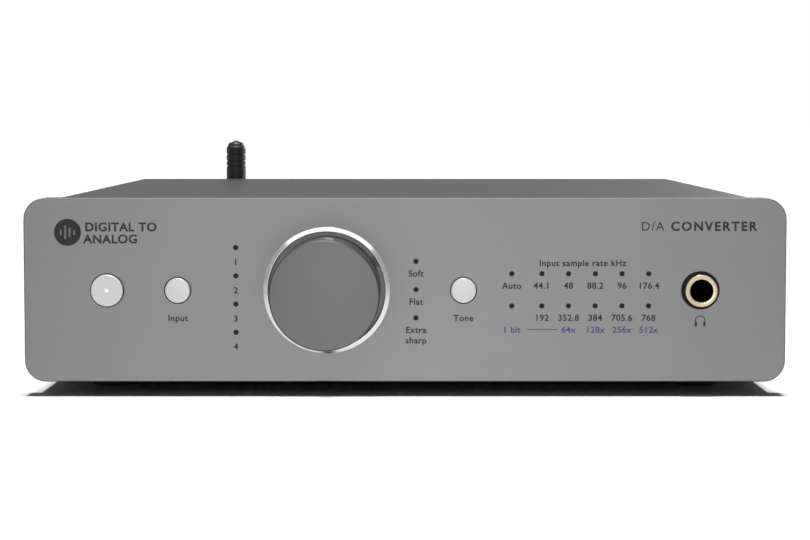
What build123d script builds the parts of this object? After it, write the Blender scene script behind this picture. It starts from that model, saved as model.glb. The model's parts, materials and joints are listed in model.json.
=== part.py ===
from build123d import *
from math import cos, radians, sin
import os

# A desktop digital-to-analogue converter with a headphone amplifier, in millimetres.
# +Z is up, the front panel faces -Y, and +X is to the right of someone facing it.
# The origin is on the surface that the feet stand on, in the middle of the object's box.

# ---------------------------------------------------------------- driving dimensions

# Front panel, a solid aluminium plate
panel_width = 215.0
panel_height = 52.0
panel_thickness = 6.0
panel_corner_radius = 6.0
panel_edge_bevel = 0.25
ground_clearance = 4.2

# Steel case behind the panel
body_depth = 168.0
sheet = 1.2
cover_side_inset = 3.2
cover_drop = 1.0
cover_bend_radius = 2.5
slip = 0.1
rear_recess = 0.6
tray_side_height = 14.0
flange_depth = 12.0
vent_slot_length = 26.0
vent_slot_width = 2.0
vent_slot_pitch = 6.0
vent_slots_per_group = 9
vent_group_x = 50.0
vent_group_y = 6.0

# Feet
foot_radius = 8.0
foot_taper = 0.8
foot_from_side = 18.3
foot_from_end = 18.0

# Screws
thread_radius = 1.5
thread_fit = 0.05
head_radius = 2.8
head_height = 1.8
drive_radius = 1.0
drive_depth = 1.0
shank_hole_radius = 1.7
case_screw_length = 6.0
panel_screw_length = 5.0
board_screw_length = 6.0
foot_screw_length = 8.0
panel_screw_from_side = 4.7
panel_screw_from_edge = 8.0

# Boards, with the encoder as deep as the standoffs are long
board_thickness = 1.6
standoff_length = 6.5
standoff_radius = 3.0
board_side_gap = 4.7
control_board_height = 34.0
jack_board_gap = 2.8
board_gap = 3.0
board_edge_inset = 5.0
board_rear_screws_inset = 30.0
side_screws_from_end = 24.0

# Volume knob, its trim ring and its encoder
knob_x = -22.1
knob_radius = 15.2
knob_protrusion = 14.0
knob_bevel = 0.4
knob_wall = 2.2
knob_face_thickness = 3.0
knob_sink = 2.3
knob_groove_width = 0.5
knob_groove_depth = 0.3
knob_groove_from_panel = 1.4
ring_gap = 1.35
ring_width = 1.35
ring_proud = 0.8
ring_seat_depth = 2.0
ring_bevel = 0.45
recess_depth = 3.5
encoder_width = 12.0
bushing_radius = 3.5
bushing_length = 7.5
nut_thickness = 2.0
nut_across_flats = 10.0
shaft_radius = 3.0
shaft_running_fit = 0.05
shaft_depth_in_body = 4.0
shaft_in_knob = 8.7
shaft_flat = 1.5
hub_radius = 6.5
hub_gap = 0.7

# Buttons: distance from the panel's middle, and radius of the cap
buttons = {
    "power": (-84.0, 4.5),
    "input": (-64.1, 3.525),
    "filter": (16.5, 3.525),
}
cap_gap = 0.35
cap_proud = 0.8
cap_edge_radius = 0.35
cap_flange_lip = 1.1
cap_flange_thickness = 1.0
cap_stop_gap = 0.05
button_travel = 0.5
pocket_depth = 2.4
pocket_gap = 0.4
stem_radius = 1.5
stem_gap = 0.4
light_pipe_radius = 0.5
light_pipe_proud = 0.08
switch_width = 6.2
switch_height = 3.5
plunger_radius = 1.7
plunger_length = 2.0
plunger_out = 1.2
plunger_gap = 0.15

# Indicator windows: columns and rows measured from the panel's middle
window_radius = 0.75
guide_radius = 0.7
guide_hole_radius = 1.1
guide_carrier_thickness = 1.5
guide_margin = 2.5
lamp_width = 1.6
lamp_length = 0.8
lamp_height = 0.6
lamp_gap = 0.1
window_pitch = 8.0
input_column_x = -47.7
input_window_count = 4
input_column_top = 12.1
filter_column_x = 3.1
filter_window_count = 3
filter_column_top = 8.2
rate_first_x = 30.1
rate_second_x = 38.6
rate_pitch = 7.53
rate_numbered_columns = 5
rate_rows = (4.7, -4.4)

# Headphone socket for a 6.35 mm plug
jack_x = 83.3
jack_hole_gap = 0.95
ferrule_bore_radius = 3.25
ferrule_wall = 1.25
ferrule_proud = 2.0
ferrule_length = 11.0
ferrule_rim = 0.5
ferrule_mouth_depth = 1.1
jack_body_width = 15.0
jack_body_length = 31.0
jack_body_corner = 1.0
jack_sleeve_recess = 0.15
jack_body_bore_gap = 0.25
jack_plug_depth = 33.0
jack_tag_width = 2.0
jack_tag_thickness = 0.5
jack_tag_length = 3.0
jack_tag_pitch = 8.0
jack_tag_count = 3

# Balanced outputs
xlr_places = (58.0, 86.0)
xlr_from_floor = 24.6
xlr_flange_width = 26.0
xlr_flange_height = 31.0
xlr_flange_thickness = 2.0
xlr_flange_corner = 3.0
xlr_screw_inset = 3.5
xlr_body_radius = 11.0
xlr_body_depth = 20.0
xlr_cavity_radius = 8.0
xlr_cavity_depth = 15.0
xlr_pin_radius = 1.2
xlr_pin_circle = 3.96
xlr_pin_length = 13.0
xlr_pin_angles = (-90.0, 22.0, 158.0)
xlr_base_width = 18.0
xlr_base_depth = 8.0

# Phono sockets
output_phono_places = (22.0, 36.0)
input_phono_places = (-30.0, -55.0)
phono_radius = 4.15
phono_neck_radius = 3.9
phono_bore_radius = 3.4
phono_length = 9.0
phono_tip_bevel = 0.4
phono_pin_hole_radius = 1.6
phono_insulator_inset = 1.0
phono_height = 7.0
phono_block_depth = 10.0
phono_block_width = 10.0
phono_block_height = 14.0
block_screw_from_top = 2.5

# Optical sockets, each with a hinged shutter
optical_places = (-18.0, -43.0)
optical_cavity_width = 6.4
optical_cavity_depth = 9.0
optical_wall = 1.65
optical_roof = 1.15
optical_depth = 15.0
optical_proud = 0.8
shutter_gap = 0.1
shutter_thickness = 0.7
shutter_inset = 0.5
shutter_hinge_rise = 0.5
shutter_barrel_radius = 0.5
shutter_room_rise = 1.2
optical_emitter_radius = 1.25
optical_emitter_depth = 3.0

# USB type B socket
usb_x = -1.0
usb_width = 12.0
usb_height = 11.0
usb_depth = 17.0
usb_proud = 1.0
usb_cavity_width = 8.5
usb_cavity_height = 7.8
usb_cavity_depth = 12.0
usb_cavity_bevel = 1.6
usb_tongue_width = 5.6
usb_tongue_height = 3.2
usb_tongue_inset = 1.2

# Power inlet for a barrel plug
inlet_x = -90.0
inlet_width = 9.0
inlet_height = 11.0
inlet_depth = 14.0
inlet_proud = 0.5
inlet_centre_height = 6.0
inlet_bore_radius = 3.2
inlet_bore_depth = 10.0
inlet_pin_radius = 1.05
inlet_pin_length = 8.5

# Wireless antenna on a threaded socket
antenna_x = -68.0
antenna_from_panel_bottom = 36.8
socket_thread_radius = 3.175
socket_reach = 8.0
socket_flange_across_flats = 8.0
socket_flange_thickness = 2.0
socket_tail_radius = 2.0
socket_tail_length = 5.0
socket_bore_radius = 1.0
socket_bore_depth = 5.0
coupling_start = 3.2
coupling_length = 7.3
coupling_radius = 4.6
coupling_wall_thickness = 1.1
coupling_thread_gap = 0.05
neck_radius = 2.2
neck_gap = 0.1
collar_gap = 0.375
collar_thickness = 0.9
collar_end_gap = 0.2
base_radius = 4.0
base_thickness = 2.3
base_gap = 0.1
hinge_reach = 17.0
ear_radius = 3.5
ear_thickness = 1.9
tongue_gap = 0.15
tongue_thickness = 3.4
pin_radius = 1.0
pin_running_fit = 0.05
mast_radius = 3.85
mast_start = 4.2
mast_tip_from_panel_bottom = 65.8
mast_groove_depth = 0.35
mast_groove_width = 0.4
mast_groove_shoulder = 0.1
mast_groove_drops = (5.4, 7.9, 9.9)
# Radii of the rounded tip at distances below its end
mast_tip_profile = (
    (0.0, 0.0),
    (0.9, 0.0),
    (1.0, 0.35),
    (2.4, 0.75),
    (3.1, 1.35),
    (3.35, 2.3),
    (3.7, 2.5),
    (mast_radius, 3.3),
)

# Parts on the main board
module_width = 15.0
module_length = 22.0
module_from_rear = 45.0
module_board_thickness = 0.8
module_can_width = 13.0
module_can_length = 18.0
module_can_height = 2.0
lead_radius = 0.9
lead_bend = 8.0
ribbon_width = 18.0
ribbon_thickness = 0.4
ribbon_bend = 3.0
ribbon_reach = 12.0
ribbon_from_board_edge = 10.0
capacitor_radius = 4.0
capacitor_height = 12.5
capacitor_shoulder = 0.5
capacitor_pitch = 12.0
capacitors_in_row = 3
inlet_capacitors_from_rear = 55.0
output_capacitors_from_rear = 45.0
output_capacitors_from_socket = 30.0
chip_thickness = 1.2
converter_chip_width = 7.0
converter_chips_from_rear = 60.0
usb_chip_width = 12.0
receiver_chip_width = 9.0
input_chips_from_rear = 40.0
amplifier_chip_width = 6.0
amplifier_chip_from_front = 45.0

# ---------------------------------------------------------------- planes and places

cover_width = panel_width - 2 * cover_side_inset
foot_x = cover_width / 2 - foot_from_side
ring_inner_radius = knob_radius + ring_gap
ring_outer_radius = ring_inner_radius + ring_width
ferrule_radius = ferrule_bore_radius + ferrule_wall
ferrule_mouth_radius = ferrule_radius - ferrule_rim
jack_hole_radius = ferrule_radius + jack_hole_gap
jack_body_bore_radius = ferrule_bore_radius + jack_body_bore_gap
optical_width = optical_cavity_width + 2 * optical_wall
optical_centre_height = optical_width / 2
shutter_hinge_height = optical_cavity_width / 2 + shutter_hinge_rise
shutter_room_height = optical_cavity_width / 2 + shutter_room_rise
optical_height = optical_centre_height + shutter_room_height + optical_roof
coupling_bore_radius = socket_thread_radius + coupling_thread_gap
collar_radius = coupling_bore_radius - collar_gap

rear_overhang = hinge_reach + max(mast_radius, ear_radius) - rear_recess
overall_depth = knob_protrusion + body_depth + rear_overhang
knob_face_y = -overall_depth / 2
panel_front_y = knob_face_y + knob_protrusion
panel_back_y = panel_front_y + panel_thickness
cover_rear_y = panel_front_y + body_depth
rear_face_y = cover_rear_y - rear_recess
rear_inner_y = rear_face_y - sheet
bracket_back_y = panel_back_y + sheet
control_front_y = bracket_back_y + standoff_length
control_back_y = control_front_y + board_thickness

panel_bottom_z = ground_clearance
panel_top_z = panel_bottom_z + panel_height
control_z = panel_bottom_z + panel_height / 2
tray_bottom_z = panel_bottom_z + cover_drop
floor_z = tray_bottom_z + sheet
cover_top_z = panel_top_z - cover_drop
cover_inner_top_z = cover_top_z - sheet
main_bottom_z = floor_z + standoff_length
main_top_z = main_bottom_z + board_thickness

cover_inner_width = cover_width - 2 * sheet
tray_width = cover_inner_width - 2 * slip
inner_width = tray_width - 2 * sheet - 2 * slip
inner_height = cover_inner_top_z - slip - floor_z

main_board_width = inner_width - 2 * board_side_gap
panel_screw_x = inner_width / 2 - panel_screw_from_side
control_board_left = board_side_gap - inner_width / 2
control_board_right = jack_x - jack_body_width / 2 - jack_board_gap

xlr_z = floor_z + xlr_from_floor
phono_z = main_top_z + phono_height

main_front_y = control_back_y + board_gap
main_back_y = rear_inner_y - slip
main_length = main_back_y - main_front_y

flange_front_y = panel_back_y - pocket_depth + cap_stop_gap
flange_back_y = flange_front_y + cap_flange_thickness
switch_front_y = control_front_y - switch_height
plunger_front_y = switch_front_y - plunger_out

input_windows = [
    (input_column_x, control_z + input_column_top - window_pitch * i)
    for i in range(input_window_count)
]
filter_windows = [
    (filter_column_x, control_z + filter_column_top - window_pitch * i)
    for i in range(filter_window_count)
]
rate_columns = [rate_first_x] + [rate_second_x + rate_pitch * i for i in range(rate_numbered_columns)]
rate_windows = [(x, control_z + z) for z in rate_rows for x in rate_columns]
windows = input_windows + filter_windows + rate_windows

feet_places = [
    (x, y)
    for x in (-foot_x, foot_x)
    for y in (panel_back_y + foot_from_end, rear_face_y - foot_from_end)
]
panel_screw_places = [
    (x, z)
    for x in (-panel_screw_x, panel_screw_x)
    for z in (panel_bottom_z + panel_screw_from_edge, panel_top_z - panel_screw_from_edge)
]
main_screw_places = [
    (x, y)
    for x in (board_edge_inset - main_board_width / 2, 0, main_board_width / 2 - board_edge_inset)
    for y in (main_front_y + board_edge_inset, main_back_y - board_rear_screws_inset)
]
control_screw_places = [
    (x, z)
    for x in (control_board_left + board_edge_inset, control_board_right - board_edge_inset)
    for z in (
        control_z + board_edge_inset - control_board_height / 2,
        control_z - board_edge_inset + control_board_height / 2,
    )
]
tray_screw_places = [
    (x, y)
    for x in (-inner_width / 4, inner_width / 4)
    for y in (bracket_back_y + flange_depth / 2, rear_inner_y - flange_depth / 2)
]
flange_screw_reach = (xlr_flange_width / 2 - xlr_screw_inset, xlr_flange_height / 2 - xlr_screw_inset)
flange_screw_places = [
    (x + side * flange_screw_reach[0], xlr_z + side * flange_screw_reach[1])
    for x in xlr_places
    for side in (-1, 1)
]
output_block_x = sum(output_phono_places) / 2
block_screw_z = main_top_z + phono_block_height - block_screw_from_top
side_screw_z = floor_z + tray_side_height / 2
side_screw_ys = (panel_back_y + side_screws_from_end, rear_face_y - side_screws_from_end)

antenna_z = panel_bottom_z + antenna_from_panel_bottom
mast_tip_z = panel_bottom_z + mast_tip_from_panel_bottom
hinge_y = rear_face_y + hinge_reach
coupling_end_y = rear_face_y + coupling_start + coupling_length
base_front_y = coupling_end_y + base_gap
phono_places = output_phono_places + input_phono_places
optical_z = main_top_z + optical_centre_height
optical_face_y = rear_face_y + optical_proud
inlet_z = main_top_z + inlet_centre_height
jack_front_y = panel_front_y - ferrule_proud
ferrule_back_y = jack_front_y + ferrule_length
jack_sleeve_front_y = panel_front_y + jack_sleeve_recess
module_y = rear_inner_y - module_from_rear


def upright(y):
    """The plane across the object at depth y, facing the front: local x is X and local y is Z."""
    return Plane.XZ.offset(-y)


def turning(x, y, z):
    """The plane of a turned outline: local x is the radius and local y runs rearwards from y."""
    return Plane(origin=(x, y, z), x_dir=(1, 0, 0), z_dir=(0, 0, 1))


def lengthways(x, z):
    """The front-to-back axis through (x, z)."""
    return Axis((x, 0, z), (0, 1, 0))


def bar(x, z, radius, front, back, mode=Mode.ADD):
    """A round bar along the depth in the part being built, from front to back."""
    with Locations((x, (front + back) / 2, z)):
        Cylinder(radius, back - front, rotation=(90, 0, 0), mode=mode)


def block(x, y, z, width, depth, height, mode=Mode.ADD):
    """A box in the part being built, with (x, y, z) at the middle of its underside."""
    with Locations((x, y, z)):
        Box(width, depth, height, align=(Align.CENTER, Align.CENTER, Align.MIN), mode=mode)


def turned_face(x, y, z, outline):
    """The face to turn about a front-to-back axis, from points of (radius, distance behind y)."""
    with BuildSketch(turning(x, y, z)) as face:
        with BuildLine():
            Polyline(*outline, close=True)
        make_face()
    return face.sketch


def turned(x, y, z, outline):
    """A piece turned about a front-to-back axis from points of (radius, distance behind y)."""
    with BuildPart() as piece:
        revolve(turned_face(x, y, z, outline), axis=lengthways(x, z))
    return piece


def screws(places, length):
    """Pan-head screws at planes whose local z points out of the head's seat."""
    with BuildPart() as group:
        with Locations(*places):
            Cylinder(head_radius, head_height, align=(Align.CENTER, Align.CENTER, Align.MIN))
            Cylinder(
                thread_radius - thread_fit, length, align=(Align.CENTER, Align.CENTER, Align.MAX)
            )
        with Locations(*[place.offset(head_height) for place in places]):
            Cylinder(drive_radius, 2 * drive_depth, mode=Mode.SUBTRACT)
    return group


# ---------------------------------------------------------------- front panel and case

with BuildPart() as front_panel:
    with BuildSketch(upright(panel_back_y)):
        with Locations((0, control_z)):
            RectangleRounded(panel_width, panel_height, panel_corner_radius)
    extrude(amount=panel_thickness)
    chamfer(front_panel.faces().sort_by(Axis.Y)[0].edges(), length=panel_edge_bevel)
    chamfer(front_panel.faces().sort_by(Axis.Y)[-1].edges(), length=panel_edge_bevel)
    with BuildSketch(upright(panel_back_y)):
        for button_x, cap_radius in buttons.values():
            with Locations((button_x, control_z)):
                Circle(cap_radius + cap_gap)
        with Locations((jack_x, control_z)):
            Circle(jack_hole_radius)
        with Locations((knob_x, control_z)):
            Circle(bushing_radius + slip)
        with Locations(*windows):
            Circle(window_radius)
    extrude(amount=panel_thickness, mode=Mode.SUBTRACT)
    with BuildSketch(upright(panel_back_y)):
        for button_x, cap_radius in buttons.values():
            with Locations((button_x, control_z)):
                Circle(cap_radius + cap_flange_lip + pocket_gap)
    extrude(amount=pocket_depth, mode=Mode.SUBTRACT)
    with BuildSketch(upright(panel_front_y + ring_seat_depth)):
        with Locations((knob_x, control_z)):
            Circle(ring_outer_radius)
    extrude(amount=ring_seat_depth, mode=Mode.SUBTRACT)
    with BuildSketch(upright(panel_front_y + recess_depth)):
        with Locations((knob_x, control_z)):
            Circle(ring_inner_radius)
    extrude(amount=recess_depth, mode=Mode.SUBTRACT)
    with BuildSketch(upright(panel_back_y)):
        with Locations(*panel_screw_places):
            Circle(thread_radius)
    extrude(amount=panel_screw_length - sheet + slip, mode=Mode.SUBTRACT)

with BuildPart() as top_cover:
    with BuildSketch(upright(cover_rear_y)):
        with Locations((0, (cover_top_z + tray_bottom_z) / 2)):
            outline = Rectangle(cover_width, cover_top_z - tray_bottom_z)
        fillet(outline.vertices().group_by(Axis.Y)[-1], radius=cover_bend_radius)
        with Locations((0, (cover_inner_top_z + tray_bottom_z) / 2)):
            RectangleRounded(
                cover_inner_width,
                cover_inner_top_z - tray_bottom_z,
                cover_bend_radius - sheet,
                mode=Mode.SUBTRACT,
            )
        with Locations((0, tray_bottom_z)):
            Rectangle(cover_inner_width, 2 * cover_bend_radius, mode=Mode.SUBTRACT)
    extrude(amount=cover_rear_y - panel_back_y)
    with BuildSketch(Plane.YZ.offset(-cover_width / 2)):
        with Locations(*[(y, side_screw_z) for y in side_screw_ys]):
            Circle(shank_hole_radius)
    extrude(amount=cover_width, mode=Mode.SUBTRACT)

with BuildPart() as base_tray:
    with BuildSketch(upright(rear_face_y)):
        with Locations((0, tray_bottom_z + tray_side_height / 2)):
            tray_outline = Rectangle(tray_width, tray_side_height)
        fillet(tray_outline.vertices().group_by(Axis.Y)[0], radius=cover_bend_radius)
        with Locations((0, floor_z + tray_side_height)):
            RectangleRounded(
                tray_width - 2 * sheet,
                2 * tray_side_height,
                cover_bend_radius - sheet,
                mode=Mode.SUBTRACT,
            )
    extrude(amount=rear_face_y - panel_back_y)
    with BuildSketch(Plane.XY.offset(tray_bottom_z)):
        with Locations(*feet_places, *tray_screw_places):
            Circle(thread_radius)
        with Locations(*main_screw_places):
            Circle(thread_radius)
        with Locations((-vent_group_x, vent_group_y), (vent_group_x, vent_group_y)):
            with GridLocations(vent_slot_pitch, 0, vent_slots_per_group, 1):
                SlotOverall(vent_slot_length, vent_slot_width, rotation=90)
    extrude(amount=sheet, mode=Mode.SUBTRACT)
    with BuildSketch(Plane.YZ.offset(-tray_width / 2)):
        with Locations(*[(y, side_screw_z) for y in side_screw_ys]):
            Circle(thread_radius)
    extrude(amount=tray_width, mode=Mode.SUBTRACT)

with BuildPart() as front_bracket:
    with BuildSketch(upright(bracket_back_y)):
        with Locations((0, floor_z + inner_height / 2)):
            bracket_outline = Rectangle(inner_width, inner_height)
        fillet(bracket_outline.vertices(), radius=cover_bend_radius)
        for button_x, cap_radius in buttons.values():
            with Locations((button_x, control_z)):
                Circle(stem_radius + stem_gap, mode=Mode.SUBTRACT)
        with Locations((jack_x, control_z)):
            Circle(jack_hole_radius, mode=Mode.SUBTRACT)
        with Locations((knob_x, control_z)):
            Circle(bushing_radius + slip, mode=Mode.SUBTRACT)
        with Locations(*windows):
            Circle(guide_hole_radius, mode=Mode.SUBTRACT)
        with Locations(*panel_screw_places):
            Circle(shank_hole_radius, mode=Mode.SUBTRACT)
        with Locations(*control_screw_places):
            Circle(thread_radius, mode=Mode.SUBTRACT)
    extrude(amount=sheet)
    with BuildSketch(Plane.XY.offset(floor_z)):
        with Locations((0, bracket_back_y + flange_depth / 2)):
            Rectangle(inner_width - 2 * cover_bend_radius, flange_depth)
        with Locations(*tray_screw_places):
            Circle(thread_radius, mode=Mode.SUBTRACT)
    extrude(amount=sheet)

with BuildPart() as rear_panel:
    with BuildSketch(upright(rear_face_y)):
        with Locations((0, floor_z + inner_height / 2)):
            rear_outline = Rectangle(inner_width, inner_height)
        fillet(rear_outline.vertices(), radius=cover_bend_radius)
        with Locations(*[(x, xlr_z) for x in xlr_places]):
            Circle(xlr_body_radius + slip, mode=Mode.SUBTRACT)
        with Locations(*[(x, phono_z) for x in phono_places]):
            Circle(phono_neck_radius + slip, mode=Mode.SUBTRACT)
        with Locations(*[(x, main_top_z + optical_height / 2) for x in optical_places]):
            Rectangle(optical_width + 2 * slip, optical_height + 2 * slip, mode=Mode.SUBTRACT)
        with Locations((usb_x, main_top_z + usb_height / 2)):
            Rectangle(usb_width + 2 * slip, usb_height + 2 * slip, mode=Mode.SUBTRACT)
        with Locations((inlet_x, main_top_z + inlet_height / 2)):
            Rectangle(inlet_width + 2 * slip, inlet_height + 2 * slip, mode=Mode.SUBTRACT)
        with Locations((antenna_x, antenna_z)):
            Circle(socket_thread_radius + slip, mode=Mode.SUBTRACT)
        with Locations(*flange_screw_places):
            Circle(thread_radius, mode=Mode.SUBTRACT)
        with Locations((output_block_x, block_screw_z)):
            Circle(shank_hole_radius, mode=Mode.SUBTRACT)
    extrude(amount=sheet)
    with BuildSketch(Plane.XY.offset(floor_z)):
        with Locations((0, rear_inner_y - flange_depth / 2)):
            Rectangle(inner_width - 2 * cover_bend_radius, flange_depth)
        with Locations(*tray_screw_places):
            Circle(thread_radius, mode=Mode.SUBTRACT)
    extrude(amount=sheet)

with BuildPart() as feet:
    with Locations(*[(x, y, 0) for x, y in feet_places]):
        Cone(
            foot_radius - foot_taper,
            foot_radius,
            tray_bottom_z,
            align=(Align.CENTER, Align.CENTER, Align.MIN),
        )
    fillet(feet.edges().filter_by(GeomType.CIRCLE).group_by(Axis.Z)[0], radius=foot_taper)
    with Locations(*[Plane((x, y, 0), z_dir=(0, 0, -1)) for x, y in feet_places]):
        CounterBoreHole(thread_radius, head_radius + slip, tray_bottom_z / 2, depth=tray_bottom_z)

# ---------------------------------------------------------------- screws

foot_screws = screws(
    [Plane((x, y, tray_bottom_z / 2), z_dir=(0, 0, -1)) for x, y in feet_places], foot_screw_length
)
case_screws = screws(
    [
        Plane((side * cover_width / 2, y, side_screw_z), z_dir=(side, 0, 0))
        for side in (-1, 1)
        for y in side_screw_ys
    ]
    + [Plane((x, y, tray_bottom_z), z_dir=(0, 0, -1)) for x, y in tray_screw_places]
    + [
        Plane((x, rear_face_y + xlr_flange_thickness, z), z_dir=(0, 1, 0))
        for x, z in flange_screw_places
    ]
    + [Plane((output_block_x, rear_face_y, block_screw_z), z_dir=(0, 1, 0))],
    case_screw_length,
)
panel_screws = screws(
    [Plane((x, bracket_back_y, z), z_dir=(0, 1, 0)) for x, z in panel_screw_places],
    panel_screw_length,
)
board_screws = screws(
    [Plane((x, y, main_top_z), z_dir=(0, 0, 1)) for x, y in main_screw_places]
    + [Plane((x, control_back_y, z), z_dir=(0, 1, 0)) for x, z in control_screw_places],
    board_screw_length,
)

# ---------------------------------------------------------------- boards and what they carry

with BuildPart() as board_standoffs:
    with Locations(
        *[Plane((x, y, floor_z), z_dir=(0, 0, 1)) for x, y in main_screw_places],
        *[Plane((x, bracket_back_y, z), z_dir=(0, 1, 0)) for x, z in control_screw_places],
    ):
        Cylinder(standoff_radius, standoff_length, align=(Align.CENTER, Align.CENTER, Align.MIN))
        Cylinder(
            thread_radius,
            standoff_length,
            align=(Align.CENTER, Align.CENTER, Align.MIN),
            mode=Mode.SUBTRACT,
        )

with BuildPart() as main_board:
    with BuildSketch(Plane.XY.offset(main_bottom_z)):
        with Locations((0, main_front_y + main_length / 2)):
            Rectangle(main_board_width, main_length)
        with Locations(*main_screw_places):
            Circle(thread_radius, mode=Mode.SUBTRACT)
    extrude(amount=board_thickness)

with BuildPart() as control_board:
    with BuildSketch(upright(control_back_y)):
        with Locations(((control_board_left + control_board_right) / 2, control_z)):
            Rectangle(control_board_right - control_board_left, control_board_height)
        with Locations(*control_screw_places):
            Circle(thread_radius, mode=Mode.SUBTRACT)
    extrude(amount=board_thickness)

control_socket_z = control_z - control_board_height / 2 + ribbon_from_board_edge
ribbon_x = (control_board_left + control_board_right) / 2
ribbon_down_y = main_front_y + ribbon_reach
with BuildPart() as ribbon_cable:
    with BuildLine() as ribbon_line:
        FilletPolyline(
            (ribbon_x, control_back_y, control_socket_z),
            (ribbon_x, ribbon_down_y, control_socket_z),
            (ribbon_x, ribbon_down_y, main_top_z),
            radius=ribbon_bend,
        )
    with BuildSketch(upright(control_back_y)):
        with Locations((ribbon_x, control_socket_z)):
            Rectangle(ribbon_width, ribbon_thickness)
    sweep(path=ribbon_line.wires()[0])

with BuildPart() as control_switches:
    for button_x, cap_radius in buttons.values():
        block(
            button_x,
            (switch_front_y + control_front_y) / 2,
            control_z - switch_width / 2,
            switch_width,
            switch_height,
            switch_width,
        )
        bar(
            button_x,
            control_z,
            plunger_radius + plunger_gap,
            switch_front_y,
            plunger_front_y + plunger_length + button_travel + plunger_gap,
            mode=Mode.SUBTRACT,
        )


def light_guide(places):
    """Clear pins behind a group of windows, joined by a carrier that lies on the bracket."""
    xs = [x for x, z in places]
    zs = [z for x, z in places]
    middle = ((min(xs) + max(xs)) / 2, (min(zs) + max(zs)) / 2)
    with BuildPart() as guide:
        with BuildSketch(upright(bracket_back_y + guide_carrier_thickness)):
            with Locations(middle):
                Rectangle(max(xs) - min(xs) + 2 * guide_margin, max(zs) - min(zs) + 2 * guide_margin)
        extrude(amount=guide_carrier_thickness)
        with BuildSketch(upright(control_front_y - lamp_height - lamp_gap)):
            with Locations(*places):
                Circle(guide_radius)
        extrude(amount=control_front_y - lamp_height - lamp_gap - panel_front_y)
    return guide


input_light_guide = light_guide(input_windows)
filter_light_guide = light_guide(filter_windows)
rate_light_guide = light_guide(rate_windows)

with BuildPart() as indicator_lamps:
    with BuildSketch(upright(control_front_y)):
        with Locations(*windows):
            Rectangle(lamp_width, lamp_length)
    extrude(amount=lamp_height)

# ---------------------------------------------------------------- volume knob and encoder

knob_rear = knob_protrusion + knob_sink
shaft_front_y = panel_front_y + recess_depth - nut_thickness - shaft_in_knob
bushing_front_y = bracket_back_y - bushing_length
hub_back_y = bushing_front_y - hub_gap
hub_rear = hub_back_y - knob_face_y
groove_start = knob_protrusion - knob_groove_from_panel - knob_groove_width

knob_ring = turned(
    knob_x,
    panel_front_y,
    control_z,
    [
        (ring_inner_radius, ring_seat_depth),
        (ring_inner_radius, ring_bevel - ring_proud),
        (ring_inner_radius + ring_bevel, -ring_proud),
        (ring_outer_radius - ring_bevel, -ring_proud),
        (ring_outer_radius, ring_bevel - ring_proud),
        (ring_outer_radius, ring_seat_depth),
    ],
)

knob_outline = [
    (0, 0),
    (knob_radius - knob_bevel, 0),
    (knob_radius, knob_bevel),
    (knob_radius, groove_start),
    (knob_radius - knob_groove_depth, groove_start),
    (knob_radius - knob_groove_depth, groove_start + knob_groove_width),
    (knob_radius, groove_start + knob_groove_width),
    (knob_radius, knob_rear),
    (knob_radius - knob_wall, knob_rear),
    (knob_radius - knob_wall, knob_face_thickness),
    (hub_radius, knob_face_thickness),
    (hub_radius, hub_rear),
    (0, hub_rear),
]
with BuildPart() as volume_knob:
    revolve(
        turned_face(knob_x, knob_face_y, control_z, knob_outline),
        axis=lengthways(knob_x, control_z),
    )
    with BuildSketch(upright(hub_back_y)):
        with Locations((knob_x, control_z)):
            Circle(shaft_radius + shaft_running_fit)
        with Locations((knob_x, control_z + shaft_radius + shaft_running_fit)):
            Rectangle(2 * shaft_radius + slip, 2 * shaft_flat, mode=Mode.SUBTRACT)
    extrude(amount=hub_back_y - shaft_front_y + slip, mode=Mode.SUBTRACT)

with BuildPart() as encoder_shaft:
    bar(
        knob_x,
        control_z,
        shaft_radius,
        shaft_front_y,
        bracket_back_y + shaft_depth_in_body,
    )
    with BuildSketch(upright(hub_back_y + hub_gap / 2)):
        with Locations((knob_x, control_z + shaft_radius)):
            Rectangle(2 * shaft_radius, 2 * shaft_flat)
    extrude(amount=hub_back_y + hub_gap / 2 - shaft_front_y, mode=Mode.SUBTRACT)

with BuildPart() as encoder_body:
    block(
        knob_x,
        (bracket_back_y + control_front_y) / 2,
        control_z - encoder_width / 2,
        encoder_width,
        control_front_y - bracket_back_y,
        encoder_width,
    )
    bar(knob_x, control_z, bushing_radius, bushing_front_y, bracket_back_y)
    bar(
        knob_x,
        control_z,
        shaft_radius + shaft_running_fit,
        bushing_front_y,
        bracket_back_y + shaft_depth_in_body + slip,
        mode=Mode.SUBTRACT,
    )

with BuildPart() as encoder_nut:
    with BuildSketch(upright(panel_front_y + recess_depth)):
        with Locations((knob_x, control_z)):
            RegularPolygon(nut_across_flats / 2, 6, major_radius=False)
            Circle(bushing_radius, mode=Mode.SUBTRACT)
    extrude(amount=nut_thickness)

# ---------------------------------------------------------------- buttons


def button(x, cap_radius, pipe_radius):
    """A cap with a retaining flange behind the panel and a stem that reaches its switch."""
    with BuildPart() as piece:
        with BuildSketch(upright(flange_back_y)):
            with Locations((x, control_z)):
                Circle(cap_radius)
        extrude(amount=flange_back_y - panel_front_y + cap_proud)
        fillet(piece.faces().sort_by(Axis.Y)[0].edges(), radius=cap_edge_radius)
        with BuildSketch(upright(flange_back_y)):
            with Locations((x, control_z)):
                Circle(cap_radius + cap_flange_lip)
        extrude(amount=cap_flange_thickness)
        with BuildSketch(upright(plunger_front_y)):
            with Locations((x, control_z)):
                Circle(stem_radius)
        extrude(amount=plunger_front_y - flange_back_y)
        if pipe_radius > 0:
            bar(x, control_z, pipe_radius, panel_front_y - cap_proud, plunger_front_y, mode=Mode.SUBTRACT)
    return piece


def plunger(x):
    """The moving pin of one switch."""
    with BuildPart() as piece:
        bar(x, control_z, plunger_radius, plunger_front_y, plunger_front_y + plunger_length)
    return piece


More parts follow.
